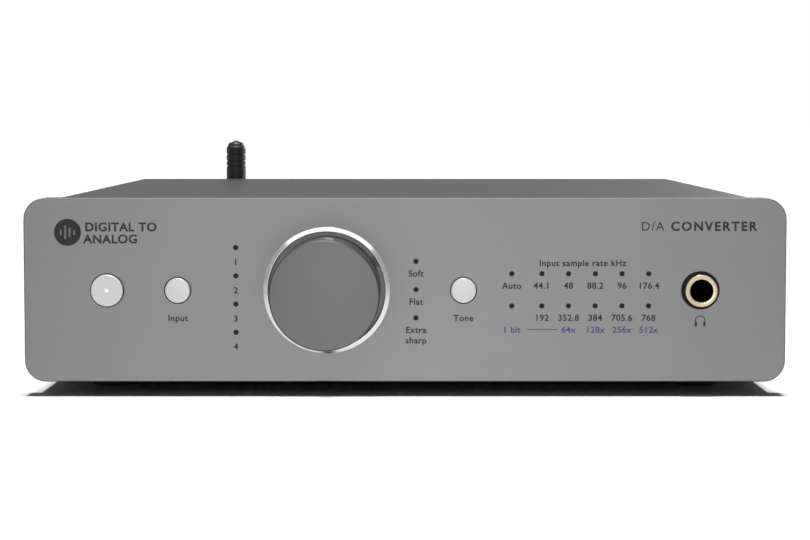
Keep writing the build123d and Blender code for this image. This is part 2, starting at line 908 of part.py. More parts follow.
power_button = button(*buttons["power"], light_pipe_radius)
input_button = button(*buttons["input"], 0)
filter_button = button(*buttons["filter"], 0)
power_switch_plunger = plunger(buttons["power"][0])
input_switch_plunger = plunger(buttons["input"][0])
filter_switch_plunger = plunger(buttons["filter"][0])

with BuildPart() as power_light_pipe:
    bar(
        buttons["power"][0],
        control_z,
        light_pipe_radius,
        panel_front_y - cap_proud - light_pipe_proud,
        plunger_front_y,
    )

# ---------------------------------------------------------------- headphone socket

headphone_ferrule = turned(
    jack_x,
    jack_front_y,
    control_z,
    [
        (ferrule_mouth_radius, 0),
        (ferrule_radius - ring_bevel, 0),
        (ferrule_radius, ring_bevel),
        (ferrule_radius, ferrule_length),
        (ferrule_bore_radius, ferrule_length),
        (ferrule_bore_radius, ferrule_mouth_depth),
    ],
)

with BuildPart() as headphone_socket:
    block(
        jack_x,
        bracket_back_y + jack_body_length / 2,
        control_z - jack_body_width / 2,
        jack_body_width,
        jack_body_length,
        jack_body_width,
    )
    fillet(headphone_socket.edges().filter_by(Axis.Y), radius=jack_body_corner)
    bar(jack_x, control_z, jack_hole_radius - slip, jack_sleeve_front_y, bracket_back_y)
    bar(jack_x, control_z, ferrule_radius, jack_sleeve_front_y, ferrule_back_y, mode=Mode.SUBTRACT)
    bar(
        jack_x,
        control_z,
        jack_body_bore_radius,
        ferrule_back_y,
        jack_front_y + jack_plug_depth,
        mode=Mode.SUBTRACT,
    )

with BuildPart() as headphone_contacts:
    with Locations(
        (
            jack_x,
            bracket_back_y + jack_body_length / 2,
            control_z - jack_body_width / 2,
        )
    ):
        with GridLocations(jack_body_width - 2 * jack_tag_width, jack_tag_pitch, 2, jack_tag_count):
            Box(
                jack_tag_thickness,
                jack_tag_width,
                jack_tag_length,
                align=(Align.CENTER, Align.CENTER, Align.MAX),
            )

# ---------------------------------------------------------------- rear sockets


def balanced_socket(x):
    """A three-pole male socket: a flange outside the rear panel and a round body inside."""
    with BuildPart() as piece:
        with BuildSketch(upright(rear_face_y + xlr_flange_thickness)):
            with Locations((x, xlr_z)):
                RectangleRounded(xlr_flange_width, xlr_flange_height, xlr_flange_corner)
        extrude(amount=xlr_flange_thickness)
        bar(x, xlr_z, xlr_body_radius, rear_inner_y - xlr_body_depth, rear_face_y)
        block(
            x,
            rear_inner_y - xlr_base_depth,
            main_top_z,
            xlr_base_width,
            xlr_base_depth,
            xlr_z - main_top_z,
        )
        for side in (-1, 1):
            bar(
                x + side * flange_screw_reach[0],
                xlr_z + side * flange_screw_reach[1],
                shank_hole_radius,
                rear_face_y,
                rear_face_y + xlr_flange_thickness,
                mode=Mode.SUBTRACT,
            )
        bar(
            x,
            xlr_z,
            xlr_cavity_radius,
            rear_face_y + xlr_flange_thickness - xlr_cavity_depth,
            rear_face_y + xlr_flange_thickness,
            mode=Mode.SUBTRACT,
        )
    return piece


xlr_socket_left, xlr_socket_right = [balanced_socket(x) for x in xlr_places]
xlr_cavity_floor_y = rear_face_y + xlr_flange_thickness - xlr_cavity_depth

with BuildPart() as xlr_pins:
    for xlr_x in xlr_places:
        for pin_angle in xlr_pin_angles:
            pin_x = xlr_x + xlr_pin_circle * cos(radians(pin_angle))
            pin_z = xlr_z + xlr_pin_circle * sin(radians(pin_angle))
            bar(pin_x, pin_z, xlr_pin_radius, xlr_cavity_floor_y, xlr_cavity_floor_y + xlr_pin_length)
    fillet(xlr_pins.edges().group_by(Axis.Y)[-1], radius=xlr_pin_radius / 2)

with BuildPart() as phono_barrels:
    for phono_x in phono_places:
        bar(phono_x, phono_z, phono_neck_radius, rear_inner_y, rear_face_y)
        bar(phono_x, phono_z, phono_radius, rear_face_y, rear_face_y + phono_length)
    chamfer(phono_barrels.edges().group_by(Axis.Y)[-1], length=phono_tip_bevel)
    for phono_x in phono_places:
        bar(
            phono_x,
            phono_z,
            phono_bore_radius,
            rear_inner_y,
            rear_face_y + phono_length,
            mode=Mode.SUBTRACT,
        )


def phono_insulators(places):
    """Plastic cores inside the barrels, each with the hole for a plug's pin."""
    with BuildPart() as piece:
        for x in places:
            bar(
                x,
                phono_z,
                phono_bore_radius,
                rear_inner_y,
                rear_face_y + phono_length - phono_insulator_inset,
            )
            bar(
                x,
                phono_z,
                phono_pin_hole_radius,
                rear_inner_y,
                rear_face_y + phono_length,
                mode=Mode.SUBTRACT,
            )
    return piece


left_phono_insulator = phono_insulators(output_phono_places[1:])
right_phono_insulator = phono_insulators(output_phono_places[:1])
coaxial_insulators = phono_insulators(input_phono_places)

output_phono_span = output_phono_places[1] - output_phono_places[0]
with BuildPart() as output_phono_block:
    block(
        output_block_x,
        rear_inner_y - phono_block_depth / 2,
        main_top_z,
        output_phono_span + phono_block_width,
        phono_block_depth,
        phono_block_height,
    )
    bar(
        output_block_x,
        block_screw_z,
        thread_radius,
        rear_inner_y - phono_block_depth,
        rear_inner_y,
        mode=Mode.SUBTRACT,
    )

with BuildPart() as coaxial_blocks:
    for phono_x in input_phono_places:
        block(
            phono_x,
            rear_inner_y - phono_block_depth / 2,
            main_top_z,
            phono_block_width,
            phono_block_depth,
            phono_block_height,
        )

with BuildPart() as optical_sockets:
    for optical_x in optical_places:
        block(
            optical_x,
            optical_face_y - optical_depth / 2,
            main_top_z,
            optical_width,
            optical_depth,
            optical_height,
        )
        block(
            optical_x,
            optical_face_y - optical_cavity_depth / 2,
            optical_z - optical_cavity_width / 2,
            optical_cavity_width,
            optical_cavity_depth,
            optical_cavity_width / 2 + shutter_room_height,
            mode=Mode.SUBTRACT,
        )
        bar(
            optical_x,
            optical_z,
            optical_emitter_radius,
            optical_face_y - optical_cavity_depth - optical_emitter_depth,
            optical_face_y - optical_cavity_depth,
            mode=Mode.SUBTRACT,
        )

shutter_y = optical_face_y - shutter_inset - shutter_thickness / 2
shutter_hinge_z = optical_z + shutter_hinge_height


def optical_shutter(x):
    """A flap that hangs across the socket's mouth and swings inwards as a plug enters."""
    bottom_z = optical_z - optical_cavity_width / 2 + shutter_gap
    with BuildPart() as piece:
        block(
            x,
            shutter_y,
            bottom_z,
            optical_cavity_width - 2 * shutter_gap,
            shutter_thickness,
            shutter_hinge_z - bottom_z,
        )
        with Locations((x, shutter_y, shutter_hinge_z)):
            Cylinder(
                shutter_barrel_radius,
                optical_cavity_width - 2 * shutter_gap,
                rotation=(0, 90, 0),
            )
    return piece


optical_shutter_1, optical_shutter_2 = [optical_shutter(x) for x in optical_places]

usb_z = main_top_z + usb_height / 2
usb_face_y = rear_face_y + usb_proud
with BuildPart() as usb_shell:
    block(usb_x, usb_face_y - usb_depth / 2, main_top_z, usb_width, usb_depth, usb_height)
    with BuildSketch(upright(usb_face_y)):
        with Locations((usb_x, usb_z)):
            usb_mouth = Rectangle(usb_cavity_width, usb_cavity_height)
        chamfer(usb_mouth.vertices().group_by(Axis.Y)[-1], length=usb_cavity_bevel)
    extrude(amount=usb_cavity_depth, mode=Mode.SUBTRACT)

with BuildPart() as usb_tongue:
    block(
        usb_x,
        usb_face_y - (usb_cavity_depth + usb_tongue_inset) / 2,
        usb_z - usb_tongue_height / 2,
        usb_tongue_width,
        usb_cavity_depth - usb_tongue_inset,
        usb_tongue_height,
    )

inlet_face_y = rear_face_y + inlet_proud
inlet_floor_y = inlet_face_y - inlet_bore_depth
with BuildPart() as power_inlet:
    block(inlet_x, inlet_face_y - inlet_depth / 2, main_top_z, inlet_width, inlet_depth, inlet_height)
    bar(inlet_x, inlet_z, inlet_bore_radius, inlet_floor_y, inlet_face_y, mode=Mode.SUBTRACT)

with BuildPart() as power_inlet_pin:
    bar(inlet_x, inlet_z, inlet_pin_radius, inlet_floor_y, inlet_floor_y + inlet_pin_length)
    fillet(power_inlet_pin.edges().group_by(Axis.Y)[-1], radius=inlet_pin_radius / 2)

# ---------------------------------------------------------------- antenna

with BuildPart() as antenna_socket:
    with BuildSketch(upright(rear_inner_y)):
        with Locations((antenna_x, antenna_z)):
            RegularPolygon(socket_flange_across_flats / 2, 6, major_radius=False)
    extrude(amount=socket_flange_thickness)
    bar(antenna_x, antenna_z, socket_thread_radius, rear_inner_y, rear_face_y + socket_reach)
    bar(
        antenna_x,
        antenna_z,
        socket_tail_radius,
        rear_inner_y - socket_flange_thickness - socket_tail_length,
        rear_inner_y - socket_flange_thickness,
    )
    bar(
        antenna_x,
        antenna_z,
        socket_bore_radius,
        rear_face_y + socket_reach - socket_bore_depth,
        rear_face_y + socket_reach,
        mode=Mode.SUBTRACT,
    )

with BuildPart() as antenna_socket_nut:
    with BuildSketch(upright(rear_face_y + socket_flange_thickness)):
        with Locations((antenna_x, antenna_z)):
            RegularPolygon(socket_flange_across_flats / 2, 6, major_radius=False)
            Circle(socket_thread_radius, mode=Mode.SUBTRACT)
    extrude(amount=socket_flange_thickness)

antenna_coupling = turned(
    antenna_x,
    rear_face_y,
    antenna_z,
    [
        (coupling_bore_radius, coupling_start),
        (coupling_radius - ring_bevel, coupling_start),
        (coupling_radius, coupling_start + ring_bevel),
        (coupling_radius, coupling_start + coupling_length - ring_bevel),
        (coupling_radius - ring_bevel, coupling_start + coupling_length),
        (neck_radius + neck_gap, coupling_start + coupling_length),
        (neck_radius + neck_gap, coupling_start + coupling_length - coupling_wall_thickness),
        (coupling_bore_radius, coupling_start + coupling_length - coupling_wall_thickness),
    ],
)

collar_back_y = coupling_end_y - coupling_wall_thickness - collar_end_gap
with BuildPart() as antenna_base:
    bar(antenna_x, antenna_z, base_radius, base_front_y, base_front_y + base_thickness)
    bar(antenna_x, antenna_z, neck_radius, collar_back_y - collar_thickness, base_front_y)
    bar(antenna_x, antenna_z, collar_radius, collar_back_y - collar_thickness, collar_back_y)
    for side in (-1, 1):
        ear_x = antenna_x + side * (tongue_thickness / 2 + tongue_gap + ear_thickness / 2)
        with BuildSketch(Plane.YZ.offset(ear_x - ear_thickness / 2)):
            with Locations((hinge_y, antenna_z)):
                Circle(ear_radius)
            with Locations(((base_front_y + base_thickness / 2 + hinge_y) / 2, antenna_z)):
                Rectangle(hinge_y - base_front_y - base_thickness / 2, 2 * ear_radius)
            with Locations((hinge_y, antenna_z)):
                Circle(pin_radius, mode=Mode.SUBTRACT)
        extrude(amount=ear_thickness)

with BuildPart() as antenna_hinge_pin:
    with Locations((antenna_x, hinge_y, antenna_z)):
        Cylinder(pin_radius, tongue_thickness + 2 * (tongue_gap + ear_thickness), rotation=(0, 90, 0))

mast_drops = list(mast_tip_profile)
for drop in mast_groove_drops:
    mast_drops += [
        (mast_radius, drop - mast_groove_shoulder),
        (mast_radius - mast_groove_depth, drop),
        (mast_radius - mast_groove_depth, drop + mast_groove_width),
        (mast_radius, drop + mast_groove_width + mast_groove_shoulder),
    ]
mast_outline = [(radius, mast_tip_z - drop) for radius, drop in mast_drops]
mast_outline += [(mast_radius, antenna_z + mast_start), (0, antenna_z + mast_start)]
with BuildPart() as antenna_mast:
    with BuildSketch(Plane(origin=(antenna_x, hinge_y, 0), x_dir=(1, 0, 0), z_dir=(0, -1, 0))):
        with BuildLine():
            Polyline(*mast_outline, close=True)
        make_face()
    revolve(axis=Axis((antenna_x, hinge_y, 0), (0, 0, 1)))
    with BuildSketch(Plane.YZ.offset(antenna_x - tongue_thickness / 2)):
        with Locations((hinge_y, antenna_z)):
            Circle(ear_radius)
        with Locations((hinge_y, antenna_z + mast_start / 2)):
            Rectangle(2 * ear_radius, mast_start)
        with Locations((hinge_y, antenna_z)):
            Circle(pin_radius + pin_running_fit, mode=Mode.SUBTRACT)
    extrude(amount=tongue_thickness)

lead_start_y = rear_inner_y - socket_flange_thickness - socket_tail_length
module_can_top_z = main_top_z + module_board_thickness + module_can_height
with BuildPart() as antenna_lead:
    with BuildLine() as lead_line:
        FilletPolyline(
            (antenna_x, lead_start_y, antenna_z),
            (antenna_x, module_y, antenna_z),
            (antenna_x, module_y, module_can_top_z),
            radius=lead_bend,
        )
    with BuildSketch(upright(lead_start_y)):
        with Locations((antenna_x, antenna_z)):
            Circle(lead_radius)
    sweep(path=lead_line.wires()[0])

with BuildPart() as wireless_module:
    block(antenna_x, module_y, main_top_z, module_width, module_length, module_board_thickness)
    block(
        antenna_x,
        module_y,
        main_top_z + module_board_thickness,
        module_can_width,
        module_can_length,
        module_can_height,
    )

# ---------------------------------------------------------------- chips and capacitors

converter_y = rear_inner_y - converter_chips_from_rear
input_chip_y = rear_inner_y - input_chips_from_rear
chip_places = [(x, converter_y, converter_chip_width) for x in xlr_places] + [
    (usb_x, input_chip_y, usb_chip_width),
    (optical_places[1], input_chip_y, receiver_chip_width),
    (jack_x, main_front_y + amplifier_chip_from_front, amplifier_chip_width),
]
with BuildPart() as integrated_circuits:
    for chip_x, chip_y, chip_width in chip_places:
        block(chip_x, chip_y, main_top_z, chip_width, chip_width, chip_thickness)

capacitor_rows = [
    (inlet_x, rear_inner_y - inlet_capacitors_from_rear),
    (xlr_places[0] - output_capacitors_from_socket, rear_inner_y - output_capacitors_from_rear),
]
with BuildPart() as capacitors:
    for capacitor_x, capacitor_y in capacitor_rows:
        with Locations((capacitor_x, capacitor_y, main_top_z)):
            with GridLocations(0, capacitor_pitch, 1, capacitors_in_row):
                Cylinder(
                    capacitor_radius,
                    capacitor_height,
                    align=(Align.CENTER, Align.CENTER, Align.MIN),
                )
    fillet(capacitors.edges().group_by(Axis.Z)[-1], radius=capacitor_shoulder)

# ---------------------------------------------------------------- labels and files

pieces = {
    "front_panel": front_panel,
    "knob_ring": knob_ring,
    "top_cover": top_cover,
    "base_tray": base_tray,
    "front_bracket": front_bracket,
    "rear_panel": rear_panel,
    "feet": feet,
    "foot_screws": foot_screws,
    "case_screws": case_screws,
    "panel_screws": panel_screws,
    "board_screws": board_screws,
    "board_standoffs": board_standoffs,
    "main_board": main_board,
    "control_board": control_board,
    "ribbon_cable": ribbon_cable,
    "control_switches": control_switches,
    "input_light_guide": input_light_guide,
    "filter_light_guide": filter_light_guide,
    "rate_light_guide": rate_light_guide,
    "indicator_lamps": indicator_lamps,
    "volume_knob": volume_knob,
    "encoder_shaft": encoder_shaft,
    "encoder_body": encoder_body,
    "encoder_nut": encoder_nut,
    "power_button": power_button,
    "power_light_pipe": power_light_pipe,
    "power_switch_plunger": power_switch_plunger,
    "input_button": input_button,
    "input_switch_plunger": input_switch_plunger,
    "filter_button": filter_button,
    "filter_switch_plunger": filter_switch_plunger,
    "headphone_ferrule": headphone_ferrule,
    "headphone_socket": headphone_socket,
    "headphone_contacts": headphone_contacts,
    "xlr_socket_left": xlr_socket_left,
    "xlr_socket_right": xlr_socket_right,
    "xlr_pins": xlr_pins,
    "phono_barrels": phono_barrels,
    "left_phono_insulator": left_phono_insulator,
    "right_phono_insulator": right_phono_insulator,
    "coaxial_insulators": coaxial_insulators,
    "output_phono_block": output_phono_block,
    "coaxial_blocks": coaxial_blocks,
    "optical_sockets": optical_sockets,
    "optical_shutter_1": optical_shutter_1,
    "optical_shutter_2": optical_shutter_2,
    "usb_shell": usb_shell,
    "usb_tongue": usb_tongue,
    "power_inlet": power_inlet,
    "power_inlet_pin": power_inlet_pin,
    "antenna_socket": antenna_socket,
    "antenna_socket_nut": antenna_socket_nut,
    "antenna_coupling": antenna_coupling,
    "antenna_base": antenna_base,
    "antenna_hinge_pin": antenna_hinge_pin,
    "antenna_mast": antenna_mast,
    "antenna_lead": antenna_lead,
    "wireless_module": wireless_module,
    "integrated_circuits": integrated_circuits,
    "capacitors": capacitors,
}

os.makedirs("parts", exist_ok=True)
for name, piece in pieces.items():
    piece.part.label = name
    export_step(piece.part, f"parts/{name}.step")
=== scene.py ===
import json
import math

import bmesh
import bpy
from bpy.props import FloatProperty, FloatVectorProperty, IntProperty, PointerProperty
from mathutils import Matrix, Vector


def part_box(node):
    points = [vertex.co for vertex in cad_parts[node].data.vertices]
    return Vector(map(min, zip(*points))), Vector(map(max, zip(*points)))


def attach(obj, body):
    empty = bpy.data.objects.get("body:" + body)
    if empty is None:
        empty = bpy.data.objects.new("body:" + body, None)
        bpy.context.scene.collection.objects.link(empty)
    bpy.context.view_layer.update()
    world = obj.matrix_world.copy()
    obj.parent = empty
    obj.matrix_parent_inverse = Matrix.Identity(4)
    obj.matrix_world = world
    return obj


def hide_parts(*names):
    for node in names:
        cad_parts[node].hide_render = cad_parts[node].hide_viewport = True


bl_info = {
    "name": "Desktop audio converter",
    "version": (1, 0, 0),
    "blender": (4, 5, 0),
    "location": "View3D > Sidebar > Converter",
    "description": "Builds the finished outside of a desktop audio converter around its CAD frame",
    "category": "Object",
}

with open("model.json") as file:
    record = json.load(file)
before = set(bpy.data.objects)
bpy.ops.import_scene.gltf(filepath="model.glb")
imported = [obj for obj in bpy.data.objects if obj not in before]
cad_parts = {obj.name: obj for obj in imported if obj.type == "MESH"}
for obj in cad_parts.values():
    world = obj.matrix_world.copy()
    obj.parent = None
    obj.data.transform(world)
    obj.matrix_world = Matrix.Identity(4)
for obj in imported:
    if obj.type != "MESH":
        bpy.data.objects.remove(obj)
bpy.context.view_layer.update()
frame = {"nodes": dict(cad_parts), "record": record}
MM = 0.001
SHARP = math.radians(32)

PANEL_LOW, PANEL_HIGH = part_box("front_panel")
PANEL_FACE_Y = PANEL_LOW.y
CONTROL_Z = (PANEL_LOW.z + PANEL_HIGH.z) / 2
REAR_FACE_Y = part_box("rear_panel")[1].y
FRONT = Vector((0, -1, 0))
BACK = Vector((0, 1, 0))
RIGHT = Vector((1, 0, 0))
CAPITAL = 0.729  # height of a capital in the built-in typeface, as a part of its size


def middle(node):
    """The middle of a CAD node's box."""
    low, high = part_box(node)
    return (low + high) / 2


# ---- settings


class StageSettings(bpy.types.PropertyGroup):
    camera_distance: FloatProperty(
        name="Camera distance", description="From the lens to the front panel's face",
        default=0.4241, unit="LENGTH",
    )
    camera_height: FloatProperty(
        name="Camera height", description="Lens height above the front panel's lower edge",
        default=0.0738, unit="LENGTH",
    )
    camera_lens: FloatProperty(
        name="Lens",
        description="Focal length on a 36 mm wide sensor, in millimetres", default=67.13
    )
    camera_tilt: FloatProperty(
        name="Camera tilt", description="How far the lens looks below level",
        default=math.radians(2.8), subtype="ANGLE",
    )
    camera_shift: FloatProperty(
        name="Camera shift", description="Vertical lens shift, in picture widths", default=-0.0932
    )
    floor_size: FloatProperty(
        name="Floor size", description="Side of the square floor", default=30.0, unit="LENGTH"
    )
    floor_colour: FloatVectorProperty(
        name="Floor colour", description="Colour of the plain floor",
        default=(0.93, 0.93, 0.93), subtype="COLOR",
    )
    # Painted reflection: shiny surfaces see the floor as a pool of light, brighter in the middle
    # than at the sides
    pool_middle: FloatProperty(
        name="Painted pool middle",
        description="How bright shiny surfaces see the floor in the middle",
        default=0.72,
    )
    pool_side: FloatProperty(
        name="Painted pool sides", description="How bright shiny surfaces see the floor at the sides",
        default=0.40,
    )
    pool_reach: FloatProperty(
        name="Painted pool reach", description="How far to the side the floor is brighter",
        default=0.26, unit="LENGTH",
    )
    fill: FloatProperty(
        name="Fill",
        description="Strength of the even light that reaches dull surfaces", default=0.1
    )
    surround: FloatProperty(
        name="Surround",
        description="Strength of the even light that shiny surfaces see", default=0.38
    )
    overhead: FloatProperty(
        name="Overhead", description="Strength of the soft light straight above", default=3.55
    )
    back_light: FloatProperty(
        name="Back light",
        description="Power of the soft light behind on the right, in watts", default=9.0
    )
    top_light: FloatProperty(
        name="Top light",
        description="Power of the card above that only shiny surfaces see, in watts",
        default=3.8,
    )
    front_light: FloatProperty(
        name="Front light",
        description="Power of the large soft light in front, in watts", default=1.1
    )


class FinishSettings(bpy.types.PropertyGroup):
    panel_colour: FloatVectorProperty(
        name="Panel", description="Anodised grey of the front panel",
        default=(0.345, 0.345, 0.348), subtype="COLOR",
    )
    knob_colour: FloatVectorProperty(
        name="Knob", description="Anodised grey of the volume knob",
        default=(0.222, 0.222, 0.226), subtype="COLOR",
    )
    cover_colour: FloatVectorProperty(
        name="Cover", description="Powder coat of the cover, tray and rear panel",
        default=(0.032, 0.032, 0.0325), subtype="COLOR",
    )
    print_colour: FloatVectorProperty(
        name="Print", description="Dark grey ink on the front panel",
        default=(0.02, 0.02, 0.022), subtype="COLOR",
    )
    second_print_colour: FloatVectorProperty(
        name="Second print", description="Blue ink of the last row of labels",
        default=(0.085, 0.095, 0.30), subtype="COLOR",
    )
    gold_colour: FloatVectorProperty(
        name="Gold", description="Gold plating of the sockets",
        default=(0.90, 0.78, 0.53), subtype="COLOR",
    )


class DetailSettings(bpy.types.PropertyGroup):
    edge_round: FloatProperty(
        name="Edge rounding", description="Radius of the small roundings on machined edges",
        default=0.00012, unit="LENGTH",
    )
    segments: IntProperty(name="Segments", description="Steps round a turned piece", default=160)
    print_height: FloatProperty(
        name="Letter height", description="Height of a capital letter of the small labels",
        default=0.00183, unit="LENGTH",
    )
    print_thickness: FloatProperty(
        name="Ink thickness", description="How far the ink stands above the panel",
        default=0.00002, unit="LENGTH",
    )


def settings():
    return bpy.context.scene.converter_stage


def finishes():
    return bpy.context.scene.converter_finish


def details():
    return bpy.context.scene.converter_detail


# ---- shader groups


def new_group(name, inputs, outputs):
    """An empty shader group with its sockets and its input and output nodes."""
    group = bpy.data.node_groups.new(name, "ShaderNodeTree")
    for label, kind, value in inputs:
        socket = group.interface.new_socket(name=label, in_out="INPUT", socket_type=kind)
        if value is not None:
            socket.default_value = value
    for label, kind in outputs:
        group.interface.new_socket(name=label, in_out="OUTPUT", socket_type=kind)
    return group, group.nodes.new("NodeGroupInput"), group.nodes.new("NodeGroupOutput")


def calculate(tree, operation, *values):
    """The result of a Math node whose inputs are sockets or plain numbers."""
    node = tree.nodes.new("ShaderNodeMath")
    node.operation = operation
    fill_inputs(tree, node, values)
    return node.outputs[0]


def calculate_vector(tree, operation, *values):
    """A Vector Math node whose inputs are sockets or plain vectors."""
    node = tree.nodes.new("ShaderNodeVectorMath")
    node.operation = operation
    fill_inputs(tree, node, values)
    return node


def fill_inputs(tree, node, values):
    for socket, value in zip(node.inputs, values):
        if isinstance(value, bpy.types.NodeSocket):
            tree.links.new(value, socket)
        else:
            socket.default_value = value


def add_relief(group, height, depth, out):
    """A bump from a height, and the group's Mask and Normal outputs."""
    bump = group.nodes.new("ShaderNodeBump")
    bump.inputs["Strength"].default_value = 1.0
    group.links.new(height, bump.inputs["Height"])
    group.links.new(depth, bump.inputs["Distance"])
    group.links.new(height, out.inputs["Mask"])
    group.links.new(bump.outputs["Normal"], out.inputs["Normal"])


def grain_group():
    """Fine random grain: a mask from 0 to 1 and the normal of its relief."""
    name = "Fine grain"
    if name in bpy.data.node_groups:
        return bpy.data.node_groups[name]
    group, given, out = new_group(
        name,
        [
            ("Coordinates", "NodeSocketVector", None),
            ("Scale", "NodeSocketFloat", 3000.0),
            ("Depth", "NodeSocketFloat", 0.00001),
            ("Roughness", "NodeSocketFloat", 0.6),
        ],
        [("Mask", "NodeSocketFloat"), ("Normal", "NodeSocketVector")],
    )
    noise = group.nodes.new("ShaderNodeTexNoise")
    noise.inputs["Detail"].default_value = 3.0
    group.links.new(given.outputs["Coordinates"], noise.inputs["Vector"])
    group.links.new(given.outputs["Scale"], noise.inputs["Scale"])
    group.links.new(given.outputs["Roughness"], noise.inputs["Roughness"])
    add_relief(group, noise.outputs["Fac"], given.outputs["Depth"], out)
    return group


def tint_group():
    """A colour that wanders a little lighter and darker over the surface, with fine speckle."""
    name = "Uneven tint"
    if name in bpy.data.node_groups:
        return bpy.data.node_groups[name]
    group, given, out = new_group(
        name,
        [
            ("Coordinates", "NodeSocketVector", None),
            ("Colour", "NodeSocketColor", (0.5, 0.5, 0.5, 1)),
            ("Wander Scale", "NodeSocketFloat", 40.0),
            ("Wander", "NodeSocketFloat", 0.05),
            ("Speckle Scale", "NodeSocketFloat", 4000.0),
            ("Speckle", "NodeSocketFloat", 0.1),
        ],
        [("Colour", "NodeSocketColor")],
    )
    swings = []
    for scale, amount in (("Wander Scale", "Wander"), ("Speckle Scale", "Speckle")):
        noise = group.nodes.new("ShaderNodeTexNoise")
        noise.inputs["Detail"].default_value = 2.0
        group.links.new(given.outputs["Coordinates"], noise.inputs["Vector"])
        group.links.new(given.outputs[scale], noise.inputs["Scale"])
        centred = calculate(group, "SUBTRACT", noise.outputs["Fac"], 0.5)
        swings.append(calculate(group, "MULTIPLY", centred, given.outputs[amount]))
    gain = calculate(group, "MULTIPLY_ADD", calculate(group, "ADD", *swings), 2.0, 1.0)
    shade = group.nodes.new("ShaderNodeVectorMath")
    shade.operation = "SCALE"
    group.links.new(given.outputs["Colour"], shade.inputs[0])
    group.links.new(gain, shade.inputs["Scale"])
    group.links.new(shade.outputs[0], out.inputs["Colour"])
    return group


def turning_group():
    """The relief of fine lathe rings about a front-to-back axis through a centre."""
    name = "Lathe rings"
    if name in bpy.data.node_groups:
        return bpy.data.node_groups[name]
    group, given, out = new_group(
        name,
        [
            ("Coordinates", "NodeSocketVector", None),
            ("Centre", "NodeSocketVector", None),
            ("Pitch", "NodeSocketFloat", 0.0001),
            ("Depth", "NodeSocketFloat", 0.000004),
        ],
        [("Mask", "NodeSocketFloat"), ("Normal", "NodeSocketVector")],
    )
    offset = calculate_vector(
        group, "SUBTRACT", given.outputs["Coordinates"], given.outputs["Centre"]
    )
    flat = calculate_vector(group, "MULTIPLY", offset.outputs[0], (1, 0, 1))
    reach = calculate_vector(group, "LENGTH", flat.outputs[0])
    rings = group.nodes.new("ShaderNodeTexNoise")
    rings.noise_dimensions = "1D"
    rings.inputs["Scale"].default_value = 1.0
    rings.inputs["Detail"].default_value = 2.0
    turns = calculate(group, "DIVIDE", reach.outputs["Value"], given.outputs["Pitch"])
    group.links.new(turns, rings.inputs["W"])
    add_relief(group, rings.outputs["Fac"], given.outputs["Depth"], out)
    return group


def knurl_group():
    """The relief of straight ribs round a front-to-back axis through a centre."""
    name = "Straight ribs"
    if name in bpy.data.node_groups:
        return bpy.data.node_groups[name]
    group, given, out = new_group(
        name,
        [
            ("Coordinates", "NodeSocketVector", None),
            ("Centre", "NodeSocketVector", None),
            ("Count", "NodeSocketFloat", 40.0),
            ("Depth", "NodeSocketFloat", 0.0001),
        ],
        [("Mask", "NodeSocketFloat"), ("Normal", "NodeSocketVector")],
    )
    offset = calculate_vector(
        group, "SUBTRACT", given.outputs["Coordinates"], given.outputs["Centre"]
    )
    parts = group.nodes.new("ShaderNodeSeparateXYZ")
    group.links.new(offset.outputs[0], parts.inputs[0])
    angle = calculate(group, "ARCTAN2", parts.outputs["X"], parts.outputs["Z"])
    turns = calculate(group, "MULTIPLY", angle, given.outputs["Count"])
    add_relief(group, calculate(group, "COSINE", turns), given.outputs["Depth"], out)
    return group


# ---- materials


def surface(name, metallic=0.0, **sockets):
    """A new material: its tree, its Principled shader and its Object coordinates."""
    material = bpy.data.materials.new(name)
    material.use_nodes = True
    tree = material.node_tree
    shader = tree.nodes["Principled BSDF"]
    shader.inputs["Metallic"].default_value = metallic
    for label, value in sockets.items():
        shader.inputs[label.replace("_", " ")].default_value = value
    coordinates = tree.nodes.new("ShaderNodeTexCoord").outputs["Object"]
    return material, tree, shader, coordinates


def place_group(tree, group, coordinates, **values):
    """A shader group in a material, fed with its coordinates and its own values."""
    node = tree.nodes.new("ShaderNodeGroup")
    node.node_tree = group
    tree.links.new(coordinates, node.inputs["Coordinates"])
    for label, value in values.items():
        node.inputs[label.replace("_", " ")].default_value = value
    return node


def rgba(colour):
    return (*colour, 1.0)


def grained(name, colour, roughness, metallic=0.0, scale=3000.0, depth=0.00001, spread=0.08,
            wander=0.04, speckle=0.12, wander_scale=40.0, **sockets):
    """A material with fine grain in its relief and roughness and a slightly uneven colour."""
    material, tree, shader, coordinates = surface(name, metallic, **sockets)
    grain = place_group(tree, grain_group(), coordinates, Scale=scale, Depth=depth)
    tint = place_group(
        tree, tint_group(), coordinates, Colour=rgba(colour), Wander=wander, Speckle=speckle,
        Speckle_Scale=scale, Wander_Scale=wander_scale,
    )
    rough = tree.nodes.new("ShaderNodeMapRange")
    rough.inputs["From Min"].default_value = 0.25
    rough.inputs["From Max"].default_value = 0.75
    rough.inputs["To Min"].default_value = roughness - spread / 2
    rough.inputs["To Max"].default_value = roughness + spread / 2
    tree.links.new(grain.outputs["Mask"], rough.inputs["Value"])
    tree.links.new(rough.outputs["Result"], shader.inputs["Roughness"])
    tree.links.new(grain.outputs["Normal"], shader.inputs["Normal"])
    tree.links.new(tint.outputs["Colour"], shader.inputs["Base Color"])
    return material


